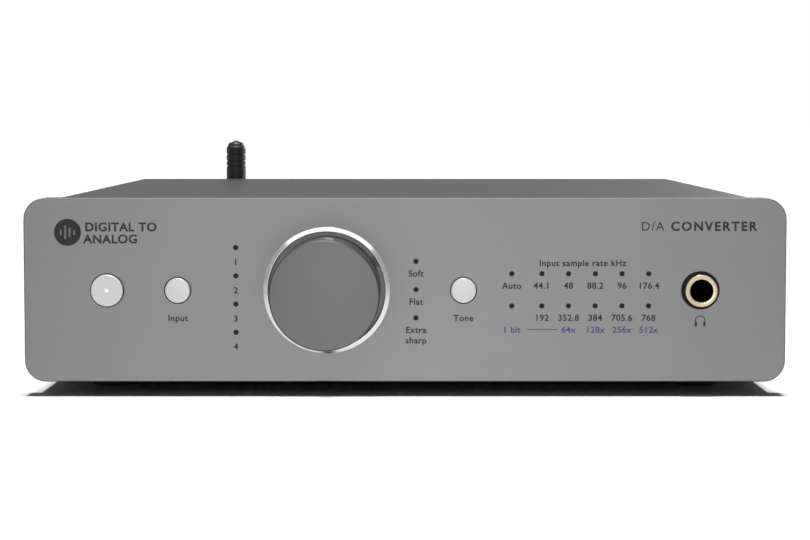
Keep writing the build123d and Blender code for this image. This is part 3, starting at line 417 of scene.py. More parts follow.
def lathe_finish(name, colour, roughness, centre, pitch, depth):
    """Turned metal: fine rings about a centre, with a slightly uneven colour."""
    material, tree, shader, coordinates = surface(name, 1.0)
    rings = place_group(
        tree, turning_group(), coordinates, Centre=centre, Pitch=pitch, Depth=depth
    )
    tint = place_group(
        tree, tint_group(), coordinates, Colour=rgba(colour), Wander=0.03, Speckle=0.02
    )
    rough = tree.nodes.new("ShaderNodeMapRange")
    rough.inputs["To Min"].default_value = roughness * 0.7
    rough.inputs["To Max"].default_value = roughness * 1.3
    tree.links.new(rings.outputs["Mask"], rough.inputs["Value"])
    tree.links.new(rough.outputs["Result"], shader.inputs["Roughness"])
    tree.links.new(rings.outputs["Normal"], shader.inputs["Normal"])
    tree.links.new(tint.outputs["Colour"], shader.inputs["Base Color"])
    return material


def ribbed_finish(name, colour, roughness, centre, count, depth):
    """Metal with straight ribs round a front-to-back axis."""
    material, tree, shader, coordinates = surface(name, 1.0)
    ribs = place_group(tree, knurl_group(), coordinates, Centre=centre, Count=count, Depth=depth)
    tint = place_group(
        tree, tint_group(), coordinates, Colour=rgba(colour), Wander=0.05, Speckle=0.05
    )
    shader.inputs["Roughness"].default_value = roughness
    tree.links.new(ribs.outputs["Normal"], shader.inputs["Normal"])
    tree.links.new(tint.outputs["Colour"], shader.inputs["Base Color"])
    return material


MATERIALS = {}


def make_materials():
    """Every finish of the object, by the record's slot or by its own name; the panel's edges, the
    knob's rim and the knob's side get darker copies of their metal, painted shade.
    """
    finish = finishes()
    knob_centre = tuple(middle("knob_ring"))
    jack_centre = tuple(middle("headphone_ferrule"))
    antenna_centre = tuple(middle("antenna_coupling"))
    panel = tuple(finish.panel_colour)
    cover = tuple(finish.cover_colour)
    gold = tuple(finish.gold_colour)
    MATERIALS.update(
        panel_aluminium=grained(
            "Anodised panel", panel, 0.5, 1.0, scale=5200.0, depth=0.000012, speckle=0.16,
            wander=0.02, spread=0.12,
        ),
        # Painted shade: a darker copy of the knob's anodised metal for the bevel round its face,
        # dimming its highlight
        bright_edge=grained(
            "Knob rim shade", (0.11, 0.11, 0.112), 0.6, 1.0, scale=5200.0, depth=0.000002
        ),
        knob_aluminium=grained(
            "Anodised knob", tuple(finish.knob_colour), 0.5, 1.0, scale=5200.0, depth=0.00001,
            speckle=0.12, wander=0.02,
        ),
        # Painted shade: a darker copy of the knob's anodised metal that darkens its side wall
        knob_side=grained(
            "Knob side shade", (0.10, 0.10, 0.102), 0.6, 1.0, scale=5200.0, depth=0.000008
        ),
        # Painted shade: a darker copy of the panel's anodised finish for its top, sides and
        # chamfers, dimming their highlights
        panel_edge=grained(
            "Panel edge shade", (0.17, 0.17, 0.172), 0.5, 1.0, scale=5200.0, depth=0.00001
        ),
        polished_ring=lathe_finish(
            "Polished ring", (0.90, 0.90, 0.905), 0.16, knob_centre, 0.00006, 0.0000012,
        ),
        painted_steel=grained(
            "Powder coat", cover, 0.48, scale=1900.0, depth=0.000022, speckle=0.10, wander=0.03,
            Coat_Weight=0.17, Coat_Roughness=0.35,
        ),
        plated_steel=grained(
            "Zinc plate", (0.62, 0.62, 0.60), 0.34, 1.0, scale=900.0, wander=0.12
        ),
        rubber=grained("Foot rubber", (0.022, 0.022, 0.022), 0.72, scale=2500.0, depth=0.00002),
        black_screw=grained("Black zinc", (0.035, 0.035, 0.037), 0.38, 0.6, scale=2500.0),
        board_laminate=grained(
            "Solder mask", (0.012, 0.085, 0.035), 0.3, scale=700.0, wander=0.2, wander_scale=300.0,
            Coat_Weight=0.4, Coat_Roughness=0.12,
        ),
        cap_plastic=grained(
            "Silver cap", (0.86, 0.86, 0.865), 0.4, 0.3, scale=5000.0, depth=0.000004, speckle=0.05,
        ),
        black_plastic=grained(
            "Black plastic", (0.02, 0.02, 0.021), 0.5, scale=2600.0, depth=0.00002
        ),
        socket_plastic=grained(
            "Socket plastic", (0.006, 0.006, 0.0065), 0.5, scale=2600.0, depth=0.00002,
            Specular_IOR_Level=0.25,
        ),
        white_plastic=grained(
            "White plastic", (0.75, 0.75, 0.73), 0.42, scale=2600.0, depth=0.00001
        ),
        red_plastic=grained(
            "Red plastic", (0.46, 0.012, 0.012), 0.42, scale=2600.0, depth=0.00001
        ),
        orange_plastic=grained(
            "Orange plastic", (0.68, 0.17, 0.01), 0.42, scale=2600.0, depth=0.00001
        ),
        gold=grained(
            "Gold plate", gold, 0.2, 1.0, scale=1500.0, depth=0.000002, speckle=0.03, wander=0.06
        ),
        turned_gold=lathe_finish("Turned gold", gold, 0.22, jack_centre, 0.00008, 0.0000025),
        ribbed_gold=ribbed_finish("Ribbed gold", gold, 0.25, antenna_centre, 36.0, 0.00016),
        nickel=grained(
            "Nickel plate", (0.68, 0.67, 0.64), 0.24, 1.0, scale=1200.0, depth=0.000002
        ),
        antenna_rubber=grained(
            "Antenna plastic", (0.016, 0.016, 0.017), 0.42, scale=2600.0, depth=0.000012,
            speckle=0.2,
        ),
        ribbon_plastic=grained("Ribbon", (0.72, 0.72, 0.68), 0.4, scale=2000.0),
        lead_jacket=grained("Lead jacket", (0.03, 0.03, 0.03), 0.35, scale=3000.0),
        shield_can=grained("Tinned can", (0.66, 0.66, 0.64), 0.3, 1.0, scale=600.0, wander=0.1),
        chip_resin=grained("Chip resin", (0.018, 0.018, 0.018), 0.55, scale=4000.0, depth=0.00001),
        capacitor_sleeve=grained("Capacitor sleeve", (0.012, 0.018, 0.04), 0.3, scale=1500.0),
        lamp=grained("Lamp resin", (0.8, 0.78, 0.62), 0.25, scale=2000.0),
        window_plastic=grained(
            "Smoked window", (0.012, 0.012, 0.013), 0.4, scale=3000.0, depth=0.000004,
            Specular_IOR_Level=0.25,
        ),
        front_print=grained(
            "Dark ink", tuple(finish.print_colour), 0.55, scale=6000.0, depth=0.000004
        ),
        second_print=grained(
            "Blue ink", tuple(finish.second_print_colour), 0.55, scale=6000.0, depth=0.000004
        ),
        pale_print=grained("Pale ink", (0.20, 0.20, 0.205), 0.55, scale=6000.0, depth=0.000004),
        rear_print=grained("White ink", (0.6, 0.6, 0.6), 0.55, scale=6000.0, depth=0.000004),
    )
    lit, tree, shader, coordinates = surface("Lit pipe", Roughness=0.3)
    tint = place_group(
        tree, tint_group(), coordinates, Colour=(0.97, 0.98, 1.0, 1), Wander=0.02, Speckle=0.02
    )
    tree.links.new(tint.outputs["Colour"], shader.inputs["Base Color"])
    shader.inputs["Emission Color"].default_value = (0.95, 0.98, 1.0, 1)
    shader.inputs["Emission Strength"].default_value = 0.5
    MATERIALS["light_pipe"] = lit


def paint(piece, name):
    """Gives a piece one of the finishes."""
    piece.data.materials.clear()
    piece.data.materials.append(MATERIALS[name])


# ---- mesh helpers


def sharp_edges(shape):
    """The edges of a bmesh where its faces meet at a clear angle."""
    return [
        edge for edge in shape.edges
        if len(edge.link_faces) == 2 and edge.calc_face_angle(0.0) > SHARP
    ]


def round_edges(shape, edges, radius, segments=2):
    bmesh.ops.bevel(
        shape, geom=edges, offset=radius, offset_type="OFFSET", affect="EDGES", segments=segments,
        profile=0.5, material=-1, clamp_overlap=True,
    )


def mesh_piece(name, shape, body, finish, smooth=True):
    """Turns a bmesh into a finished piece that rides on a body."""
    mesh = bpy.data.meshes.new(name)
    shape.to_mesh(mesh)
    shape.free()
    piece = bpy.data.objects.new(name, mesh)
    bpy.context.scene.collection.objects.link(piece)
    if smooth:
        mesh.shade_smooth()
        mesh.set_sharp_from_angle(angle=SHARP)
    paint(piece, finish)
    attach(piece, body)
    return piece


def turned_piece(name, body, finish, outline, centre, round_by=0.0, segments=None):
    """A piece turned about a front-to-back axis from closed points of (radius, depth)."""
    shape = bmesh.new()
    points = [shape.verts.new(centre + RIGHT * radius + BACK * depth) for radius, depth in outline]
    edges = [shape.edges.new(pair) for pair in zip(points, points[1:] + points[:1])]
    bmesh.ops.spin(
        shape, geom=points + edges, cent=centre, axis=BACK, angle=2 * math.pi,
        steps=segments or details().segments, use_merge=True, use_duplicate=False,
    )
    bmesh.ops.remove_doubles(shape, verts=shape.verts, dist=1e-7)
    bmesh.ops.recalc_face_normals(shape, faces=shape.faces)
    if round_by:
        round_edges(shape, sharp_edges(shape), round_by)
    return mesh_piece(name, shape, body, finish)


def arc(centre, radius, start, end, steps):
    """Points on an arc, with angles in degrees from the first axis towards the second."""
    angles = [math.radians(start + (end - start) * i / steps) for i in range(steps + 1)]
    return [(centre[0] + radius * math.cos(a), centre[1] + radius * math.sin(a)) for a in angles]


def weigh_normals(piece):
    """Keeps large flat faces flat-looking where they meet small roundings."""
    weighted = piece.modifiers.new("weighted normals", "WEIGHTED_NORMAL")
    weighted.mode = "FACE_AREA"
    weighted.weight = 100
    weighted.keep_sharp = True


def finished_copy(node, body, finish, round_by=0.0, segments=2, name="", chosen=None):
    """A CAD node's shape as one closed smooth mesh with rounded edges, shown in its place."""
    shape = bmesh.new()
    shape.from_mesh(frame["nodes"][node].data)
    bmesh.ops.remove_doubles(shape, verts=shape.verts, dist=1e-6)
    bmesh.ops.dissolve_limit(
        shape, angle_limit=math.radians(0.3), verts=shape.verts, edges=shape.edges,
        use_dissolve_boundaries=False,
    )
    if round_by:
        edges = [edge for edge in sharp_edges(shape) if chosen is None or chosen(edge)]
        round_edges(shape, edges, round_by, segments)
    piece = mesh_piece(name, shape, body, finish)
    weigh_normals(piece)
    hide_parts(node)
    return piece


# ---- stage

SUN_ANGLE = math.radians(9)
# Painted light: in front of the panel the floor glows white to the camera over the shadows there,
# ramping in between these two places
SHADOW_FADE_START = 1.2 * MM  # behind the front panel's face
SHADOW_FADE_END = 2.3 * MM  # in front of it


def aim(thing, target):
    thing.rotation_euler = (target - thing.location).to_track_quat("-Z", "Y").to_euler()


def area_light(name, offset, width, height, watts):
    """A soft box that only shiny surfaces see, aimed at the middle of the front panel."""
    target = Vector((0, PANEL_FACE_Y, CONTROL_Z))
    lamp = bpy.data.lights.new(name, "AREA")
    lamp.shape = "RECTANGLE"
    lamp.size = width
    lamp.size_y = height
    lamp.energy = watts
    thing = bpy.data.objects.new(name, lamp)
    bpy.context.scene.collection.objects.link(thing)
    thing.location = target + Vector(offset)
    aim(thing, target)
    thing.visible_diffuse = False


def floor_material(stage):
    """Pale floor. Shiny surfaces see a painted pool of light on it, brighter in the middle and
    darker at the sides. In front of the panel it glows white to the camera: painted light over the
    shadows there.
    """
    material, tree, shader, coordinates = surface("Floor", Roughness=0.9)
    shader.inputs["Specular IOR Level"].default_value = 0.0
    shader.inputs["Emission Color"].default_value = (1, 1, 1, 1)
    path = tree.nodes.new("ShaderNodeLightPath")
    across = tree.nodes.new("ShaderNodeSeparateXYZ")
    tree.links.new(coordinates, across.inputs[0])
    # Painted pool of light that only shiny surfaces see: the floor is brighter in the middle than
    # at the sides
    painted_pool_fade = tree.nodes.new("ShaderNodeMapRange")
    painted_pool_fade.interpolation_type = "SMOOTHSTEP"
    painted_pool_fade.inputs["From Max"].default_value = stage.pool_reach
    painted_pool_fade.inputs["To Min"].default_value = stage.pool_middle
    painted_pool_fade.inputs["To Max"].default_value = stage.pool_side
    tree.links.new(calculate(tree, "ABSOLUTE", across.outputs["X"]), painted_pool_fade.inputs["Value"])
    painted_pool_tone = tree.nodes.new("ShaderNodeMix")
    painted_pool_tone.data_type = "RGBA"
    painted_pool_tone.inputs["A"].default_value = rgba(stage.floor_colour)
    tree.links.new(painted_pool_fade.outputs["Result"], painted_pool_tone.inputs["B"])
    tree.links.new(path.outputs["Is Glossy Ray"], painted_pool_tone.inputs["Factor"])
    tree.links.new(painted_pool_tone.outputs["Result"], shader.inputs["Base Color"])
    # Painted light: a white glow, seen only by the camera, over the shadows on the floor in front
    # of the panel
    front = tree.nodes.new("ShaderNodeMapRange")
    front.inputs["From Min"].default_value = PANEL_FACE_Y + SHADOW_FADE_START
    front.inputs["From Max"].default_value = PANEL_FACE_Y - SHADOW_FADE_END
    tree.links.new(across.outputs["Y"], front.inputs["Value"])
    painted_light_glow = calculate(tree, "MULTIPLY", front.outputs["Result"], path.outputs["Is Camera Ray"])
    tree.links.new(painted_light_glow, shader.inputs["Emission Strength"])
    return material


def studio_world(stage):
    """Even light, with strengths of its own for dull surfaces, shiny ones and the camera."""
    world = bpy.data.worlds.new("Studio")
    world.use_nodes = True
    nodes = world.node_tree.nodes
    links = world.node_tree.links
    path = nodes.new("ShaderNodeLightPath")
    shader = nodes["Background"]
    shader.inputs["Strength"].default_value = stage.fill
    for ray, strength in (("Is Glossy Ray", stage.surround), ("Is Camera Ray", 1.0)):
        other = nodes.new("ShaderNodeBackground")
        other.inputs["Strength"].default_value = strength
        mix = nodes.new("ShaderNodeMixShader")
        links.new(path.outputs[ray], mix.inputs["Fac"])
        links.new(shader.outputs[0], mix.inputs[1])
        links.new(other.outputs[0], mix.inputs[2])
        shader = mix
    for node in nodes:
        if node.type == "BACKGROUND":
            node.inputs["Color"].default_value = (1, 1, 1, 1)
    links.new(shader.outputs[0], nodes["World Output"].inputs["Surface"])
    return world


class CONVERTER_OT_stage(bpy.types.Operator):
    """Plain pale floor, soft studio light and the camera"""

    bl_idname = "converter.stage"
    bl_label = "Stage"

    def execute(self, context):
        stage = settings()
        scene = context.scene
        scene.view_settings.view_transform = "Standard"
        scene.view_settings.look = "None"

        bpy.ops.mesh.primitive_plane_add(size=stage.floor_size, location=(0, 0, 0))
        floor = context.object
        floor.name = "floor"
        floor.data.materials.append(floor_material(stage))
        scene.world = studio_world(stage)

        sun = bpy.data.lights.new("overhead", "SUN")
        sun.energy = stage.overhead
        sun.angle = SUN_ANGLE
        overhead = bpy.data.objects.new("overhead", sun)
        scene.collection.objects.link(overhead)
        overhead.location = (0, 0, 1)
        area_light("front_softbox", (0.0, -1.1, 0.06), 0.42, 0.26, stage.front_light)
        area_light("top_card", (0.0, -0.55, 0.87), 2.0, 0.7, stage.top_light)
        area_light("back_softbox", (0.9, 1.1, 0.3), 1.1, 0.4, stage.back_light)

        lens = bpy.data.cameras.new("camera")
        lens.lens = stage.camera_lens
        lens.sensor_width = 36.0
        lens.shift_y = stage.camera_shift
        lens.clip_start = 0.01
        camera = bpy.data.objects.new("camera", lens)
        scene.collection.objects.link(camera)
        camera.location = (
            0, PANEL_FACE_Y - stage.camera_distance, PANEL_LOW.z + stage.camera_height
        )
        camera.rotation_euler = (math.pi / 2 - stage.camera_tilt, 0, 0)
        scene.camera = camera
        return {"FINISHED"}


# ---- case


class CONVERTER_OT_case(bpy.types.Operator):
    """Front panel, cover, tray and rear panel with rounded edges"""

    bl_idname = "converter.case"
    bl_label = "Case"

    def execute(self, context):
        fine = details().edge_round
        edge_reach = 1.5 * MM
        corner_reach = 6.3 * MM

        def on_rim(edge):
            place = (edge.verts[0].co + edge.verts[1].co) / 2
            return (
                place.z - PANEL_LOW.z < edge_reach or PANEL_HIGH.z - place.z < edge_reach
                or PANEL_HIGH.x - abs(place.x) < corner_reach
            )

        fascia = finished_copy(
            "front_panel", "case", "panel_aluminium", 2 * fine, 3, name="fascia", chosen=on_rim
        )
        # Painted shade: every face but the flat front and back takes the panel's darker copy,
        # dimming the highlights on its edges
        fascia.data.materials.append(MATERIALS["panel_edge"])
        for face in fascia.data.polygons:
            if abs(face.normal.y) < 0.95:  # all but the flat front and back
                face.material_index = 1
        finished_copy("top_cover", "case", "painted_steel", 1.2 * fine, name="folded_cover")
        finished_copy("base_tray", "case", "painted_steel", name="folded_tray")
        finished_copy("rear_panel", "case", "painted_steel", name="rear_plate")
        return {"FINISHED"}


# ---- knob and ring


class CONVERTER_OT_volume_knob(bpy.types.Operator):
    """Volume knob and its polished trim ring"""

    bl_idname = "converter.volume_knob"
    bl_label = "Volume knob"

    rim_width: FloatProperty(
        name="Bright rim", description="Width of the bevel round the knob's face",
        default=0.0003, unit="LENGTH",
    )
    wall: FloatProperty(
        name="Wall", description="Thickness of the knob's skirt", default=0.0022, unit="LENGTH"
    )
    groove: FloatProperty(
        name="Groove", description="Width of the groove in the knob's side",
        default=0.0005, unit="LENGTH",
    )

    def execute(self, context):
        low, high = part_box("volume_knob")
        radius = (high.x - low.x) / 2
        depth = high.y - low.y
        centre = Vector(((low.x + high.x) / 2, low.y, (low.z + high.z) / 2))
        rim = self.rim_width
        groove_at = PANEL_FACE_Y - low.y - 1.9 * MM
        face_thickness = 3.0 * MM
        hub = 6.5 * MM
        hub_end = depth - 3.3 * MM
        outline = [
            (0, 0),
            (radius - rim, 0),
            (radius, rim),
            (radius, groove_at),
            (radius - 0.6 * self.groove, groove_at + 0.2 * self.groove),
            (radius - 0.6 * self.groove, groove_at + 0.8 * self.groove),
            (radius, groove_at + self.groove),
            (radius, depth),
            (radius - self.wall, depth),
            (radius - self.wall, face_thickness),
            (hub, face_thickness),
            (hub, hub_end),
            (0, hub_end),
        ]
        knob = turned_piece(
            "knob_turned", "volume_knob", "knob_aluminium", outline, centre, round_by=0.05 * MM
        )
        knob.data.materials.append(MATERIALS["bright_edge"])
        knob.data.materials.append(MATERIALS["knob_side"])
        for face in knob.data.polygons:
            reach = math.hypot(face.center.x - centre.x, face.center.z - centre.z)
            # Painted shade: the bevel round the knob's face takes the darker copy of its metal
            if face.center.y < centre.y + 1.15 * rim and reach > radius - 1.15 * rim:
                face.material_index = 1
            # Painted shade: the knob's side wall takes the darker copy of its metal
            elif reach > radius - self.groove and face.center.y > centre.y + rim:
                face.material_index = 2
        knob.visible_shadow = False
        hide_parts("volume_knob")

        ring_low, ring_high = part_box("knob_ring")
        outer = (ring_high.x - ring_low.x) / 2
        inner = outer - 1.35 * MM
        thick = ring_high.y - ring_low.y
        front = Vector((centre.x, ring_low.y, centre.z))
        lip = 0.12 * MM
        slope_end = PANEL_FACE_Y - ring_low.y - lip
        ring_outline = (
            [(inner, thick)]
            + arc((inner + lip, lip), lip, 180, 270, 5)
            + [(inner + 2.2 * lip, 0.0)]
            + arc((outer - lip, slope_end + lip), lip, 300, 360, 5)
            + [(outer, thick)]
        )
        ring = turned_piece("trim_ring", "case", "polished_ring", ring_outline, front)
        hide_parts("knob_ring")
        return {"FINISHED"}


# ---- buttons


def button_piece(node, body, name):
    """A button's cap with a soft edge and a slightly domed face, its flange and its stem."""
    low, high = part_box(node)
    centre = Vector(((low.x + high.x) / 2, low.y, (low.z + high.z) / 2))
    fillet = 0.45 * MM
    flange = (high.x - low.x) / 2
    cap = flange - 1.1 * MM
    stem = 1.5 * MM
    length = high.y - low.y
    flange_front = (PANEL_HIGH.y - PANEL_LOW.y) - 1.55 * MM
    flange_back = flange_front + 1.0 * MM
    dome = 0.1 * MM
    steps = 5
    outline = (
        [((cap - fillet) * i / steps, dome * (i / steps) ** 2) for i in range(steps)]
        + arc((cap - fillet, dome + fillet), fillet, 270, 360, 6)
        + [
            (cap, flange_front), (flange, flange_front), (flange, flange_back),
            (stem, flange_back), (stem, length), (0, length),
        ]
    )
    piece = turned_piece(name, body, "cap_plastic", outline, centre, segments=96)
    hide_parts(node)


class CONVERTER_OT_buttons(bpy.types.Operator):
    """Power, input and filter buttons"""

    bl_idname = "converter.buttons"
    bl_label = "Buttons"

    def execute(self, context):
        button_piece("input_button", "input_button", "input_cap")
        button_piece("filter_button", "filter_button", "filter_cap")
        finished_copy("power_button", "power_button", "cap_plastic", name="power_cap")
        finished_copy("power_light_pipe", "power_button", "light_pipe", name="power_light")
        return {"FINISHED"}


# ---- headphone socket


class CONVERTER_OT_headphone_socket(bpy.types.Operator):
    """Gold ferrule of the headphone socket and what shows inside it"""

    bl_idname = "converter.headphone_socket"
    bl_label = "Headphone socket"

    def execute(self, context):
        low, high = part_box("headphone_ferrule")
        centre = Vector(((low.x + high.x) / 2, low.y, (low.z + high.z) / 2))
        outer = (high.x - low.x) / 2
        bore = outer - 1.25 * MM
        length = high.y - low.y
        rim = (outer - bore) / 2
        groove_at = outer - 0.45 * rim
        groove = 0.09 * MM
        outline = (
            [(bore, length), (bore, rim)]
            + arc((bore + 0.3 * rim, 0.3 * rim), 0.3 * rim, 180, 270, 4)
            + [(groove_at - groove, 0.0), (groove_at - 0.5 * groove, 1.6 * groove),
               (groove_at + 0.5 * groove, 1.6 * groove), (groove_at + groove, 0.3 * groove)]
            + arc((outer - 0.25 * rim, 0.35 * rim), 0.25 * rim, 290, 360, 5)
            + [(outer, length)]
        )
        ferrule = turned_piece(
            "ferrule_turned", "case", "turned_gold", outline, centre, segments=128
        )
        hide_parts("headphone_ferrule")
        finished_copy("headphone_socket", "case", "socket_plastic", name="headphone_shell")
        return {"FINISHED"}


# ---- antenna


class CONVERTER_OT_antenna(bpy.types.Operator):
    """Antenna mast, elbow and coupling"""

    bl_idname = "converter.antenna"
    bl_label = "Antenna"

    def execute(self, context):
        finished_copy("antenna_mast", "antenna_mast", "antenna_rubber", name="mast")
        finished_copy("antenna_base", "antenna_base", "antenna_rubber", 0.0002, name="elbow")
        finished_copy("antenna_coupling", "case", "ribbed_gold", name="coupling")
        finished_copy("antenna_socket", "case", "gold", name="aerial_socket")
        finished_copy("antenna_socket_nut", "case", "gold", 0.0001, name="aerial_nut")
        return {"FINISHED"}


# ---- feet, screws and sockets

PLAIN_PIECES = (
    ("feet", "case", "rubber", "rubber_feet", 0.0002),
    ("foot_screws", "case", "black_screw", "foot_fixings", 0.0),
    ("case_screws", "case", "black_screw", "case_fixings", 0.0),
    ("phono_barrels", "case", "gold", "phono_sleeves", 0.0),
    ("left_phono_insulator", "case", "white_plastic", "left_phono_core", 0.0001),
    ("right_phono_insulator", "case", "red_plastic", "right_phono_core", 0.0001),
    ("coaxial_insulators", "case", "orange_plastic", "coaxial_cores", 0.0001),
    ("xlr_socket_left", "case", "black_plastic", "balanced_shell_left", 0.0002),
    ("xlr_socket_right", "case", "black_plastic", "balanced_shell_right", 0.0002),
    ("xlr_pins", "case", "gold", "balanced_pins", 0.0),
    ("optical_sockets", "case", "black_plastic", "optical_shells", 0.0001),
    ("usb_shell", "case", "nickel", "usb_case", 0.0001),
    ("usb_tongue", "case", "white_plastic", "usb_insert", 0.0001),
    ("power_inlet", "case", "black_plastic", "inlet_shell", 0.0001),
    ("power_inlet_pin", "case", "nickel", "inlet_pin", 0.0),
    ("optical_shutter_1", "optical_shutter_1", "black_plastic", "shutter_1", 0.0),
    ("optical_shutter_2", "optical_shutter_2", "black_plastic", "shutter_2", 0.0),
)


class CONVERTER_OT_rear_sockets(bpy.types.Operator):
    """Rear sockets, feet and screws"""

    bl_idname = "converter.rear_sockets"
    bl_label = "Rear sockets, feet and screws"

    def execute(self, context):
        for node, body, finish, name, rounding in PLAIN_PIECES:
            finished_copy(node, body, finish, rounding, name=name)
        return {"FINISHED"}


# ---- print


def text_mesh(words, height, weight=0.0, spacing=1.0):
    """Words as a flat mesh centred on the origin and standing on it, with capitals of a height."""
    curve = bpy.data.curves.new("words", "FONT")
    curve.body = words
    curve.align_x = "CENTER"
    curve.size = 1.0
    curve.offset = weight
    curve.space_character = spacing
    curve.resolution_u = 4
    thing = bpy.data.objects.new("words", curve)
    bpy.context.scene.collection.objects.link(thing)
    bpy.context.view_layer.update()
    mesh = bpy.data.meshes.new_from_object(thing)
    bpy.data.objects.remove(thing)
    bpy.data.curves.remove(curve)
    mesh.transform(Matrix.Scale(height / CAPITAL, 4))
    return mesh


def add_flat(shape, mesh, place):
    """Adds a flat mesh to a bmesh at a place, and removes the mesh."""
    mesh.transform(place)
    shape.from_mesh(mesh)
    bpy.data.meshes.remove(mesh)


def on_front(x, z):
    """Places a flat drawing upright on the front panel's face."""
    return Matrix.Translation((x, PANEL_FACE_Y, z)) @ Matrix.Rotation(math.pi / 2, 4, "X")


def on_rear(x, z):
    """Places a flat drawing upright on the rear panel's face."""
    turn = Matrix.Rotation(math.pi, 4, "Z") @ Matrix.Rotation(math.pi / 2, 4, "X")
    return Matrix.Translation((x, REAR_FACE_Y, z)) @ turn


def print_piece(name, shape, finish, towards):
    """Gives flat lettering its ink thickness and makes it a piece of the case."""
    bmesh.ops.remove_doubles(shape, verts=shape.verts, dist=1e-7)
    ink = details().print_thickness
    top = bmesh.ops.extrude_face_region(shape, geom=list(shape.faces), use_keep_orig=True)
    raised = [item for item in top["geom"] if isinstance(item, bmesh.types.BMVert)]
    bmesh.ops.translate(shape, verts=raised, vec=towards * ink)
    bmesh.ops.recalc_face_normals(shape, faces=shape.faces)
    return mesh_piece(name, shape, "case", finish, smooth=False)


def guide_windows(node, count, margin=2.5 * MM):
    """Heights of the windows in a column, from the top."""
    low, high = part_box(node)
    top, bottom = high.z - margin, low.z + margin
    return [top + (bottom - top) * i / (count - 1) for i in range(count)]


def rate_columns(margin=2.5 * MM, pitch=7.53 * MM, count=5):
    """Places across the panel of the rate windows: one apart and five evenly spaced."""
    low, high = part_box("rate_light_guide")
    last = high.x - margin
    return [low.x + margin] + [last - pitch * i for i in reversed(range(count))]


def bar(shape, start, end, width, place):
    """A flat straight stroke from one point to another, added to a bmesh."""
    along = Vector(end) - Vector(start)
    middle_point = (Vector(start) + Vector(end)) / 2
    lie = (
        Matrix.Translation((*middle_point, 0))
        @ Matrix.Rotation(math.atan2(along.y, along.x), 4, "Z")
        @ Matrix.Diagonal((along.length, width, 1, 1))
    )
    flat = bmesh.new()
    bmesh.ops.create_grid(flat, x_segments=1, y_segments=1, size=0.5, matrix=lie)
    add_drawing(shape, flat, place)


def bow(shape, radius, width, place, steps=16):
    """A flat half ring, open downwards, added to a bmesh."""
    flat = bmesh.new()
    ends = [flat.verts.new((radius + side * width / 2, 0, 0)) for side in (-1, 1)]
    bmesh.ops.spin(
        flat, geom=[*ends, flat.edges.new(ends)], cent=(0, 0, 0), axis=(0, 0, 1), angle=math.pi,
        steps=steps, use_merge=False, use_duplicate=False,
    )
    add_drawing(shape, flat, place)


def add_drawing(shape, flat, place):
    """Adds a flat bmesh to another at a place, and frees it."""
    mesh = bpy.data.meshes.new("drawing")
    flat.to_mesh(mesh)
    flat.free()
    add_flat(shape, mesh, place)


# Words, place across and above the controls' line, letter height, weight and spacing, in mm
TITLES = (
    ("DIGITAL TO", -80.0, 18.0, 2.5, 0.03, 1.1),
    ("ANALOG", -82.9, 14.6, 2.5, 0.03, 1.1),
    ("D/A", 69.7, 18.2, 2.6, 0.0, 1.15),
    ("CONVERTER", 86.9, 18.2, 2.6, 0.03, 1.26),
)


class CONVERTER_OT_front_print(bpy.types.Operator):
    """Generic labels on the front panel"""

    bl_idname = "converter.front_print"
    bl_label = "Front print"

    def execute(self, context):
        cap = details().print_height
        dark = bmesh.new()
        blue = bmesh.new()
        pale = bmesh.new()

        def label(words, x, z, shape=dark, height=cap, weight=0.02, spacing=1.08):
            add_flat(shape, text_mesh(words, height, weight, spacing), on_front(x, z - height / 2))

        label("Input", middle("input_button").x, CONTROL_Z - 7.8 * MM)
        label("Tone", middle("filter_button").x, CONTROL_Z - 7.8 * MM)
        column = middle("input_light_guide").x
        for number, z in enumerate(guide_windows("input_light_guide", 4), 1):
            label(str(number), column, z - 4.0 * MM)
        column = middle("filter_light_guide").x
        for words, z in zip(("Soft", "Flat", "Extra"), guide_windows("filter_light_guide", 3)):
            label(words, column, z - 3.35 * MM)
        label("sharp", column, z - 6.3 * MM)
        columns = rate_columns()
        rows = (CONTROL_Z + 1.4 * MM, CONTROL_Z - 7.7 * MM, CONTROL_Z - 11.1 * MM)
        label("Input sample rate kHz", columns[3] - 3.6 * MM, CONTROL_Z + 7.8 * MM)
        for words, x in zip(("Auto", "44.1", "48", "88.2", "96", "176.4"), columns):
            label(words, x, rows[0])
        for words, x in zip(("192", "352.8", "384", "705.6", "768"), columns[1:]):
            label(words, x, rows[1])
        label("1 bit", columns[0], rows[2], blue)
        for words, x in zip(("64x", "128x", "256x", "512x"), columns[2:]):
            label(words, x, rows[2], blue)
        bar(
            blue, (columns[0] + 4.5 * MM, 0), (columns[2] - 3.1 * MM, 0), 0.22 * MM,
            on_front(0, rows[2]),
        )

        icon = on_front(middle("headphone_ferrule").x, CONTROL_Z - 8.6 * MM)
        band = 1.35 * MM
        pad = 1.2 * MM
        bow(dark, band, 0.27 * MM, icon)
        for side in (-1, 1):
            bar(dark, (side * band, 0.02 * MM), (side * band, -0.5 * MM), 0.22 * MM, icon)
            bar(dark, (side * pad, -0.3 * MM), (side * pad, -1.6 * MM), 0.62 * MM, icon)

        mark = on_front(-95.0 * MM, CONTROL_Z + 16.4 * MM)
        disc = bmesh.new()
        bmesh.ops.create_circle(disc, cap_ends=True, segments=64, radius=3.8 * MM)
        add_drawing(dark, disc, mark)
        on_ink = mark @ Matrix.Translation((0, 0, details().print_thickness))
        for i, reach in enumerate((0.8 * MM, 1.9 * MM, 1.3 * MM, 0.7 * MM)):
            x = (i - 1.5) * 1.25 * MM
            bar(pale, (x, -reach), (x, reach), 0.55 * MM, on_ink)
        for words, x, z, height, weight, spacing in TITLES:
            label(
                words, x * MM, CONTROL_Z + z * MM, height=height * MM, weight=weight,
                spacing=spacing,
            )

        print_piece("front_labels", dark, "front_print", FRONT)
        print_piece("front_blue_labels", blue, "second_print", FRONT)
        print_piece("front_mark", pale, "pale_print", FRONT)
        return {"FINISHED"}


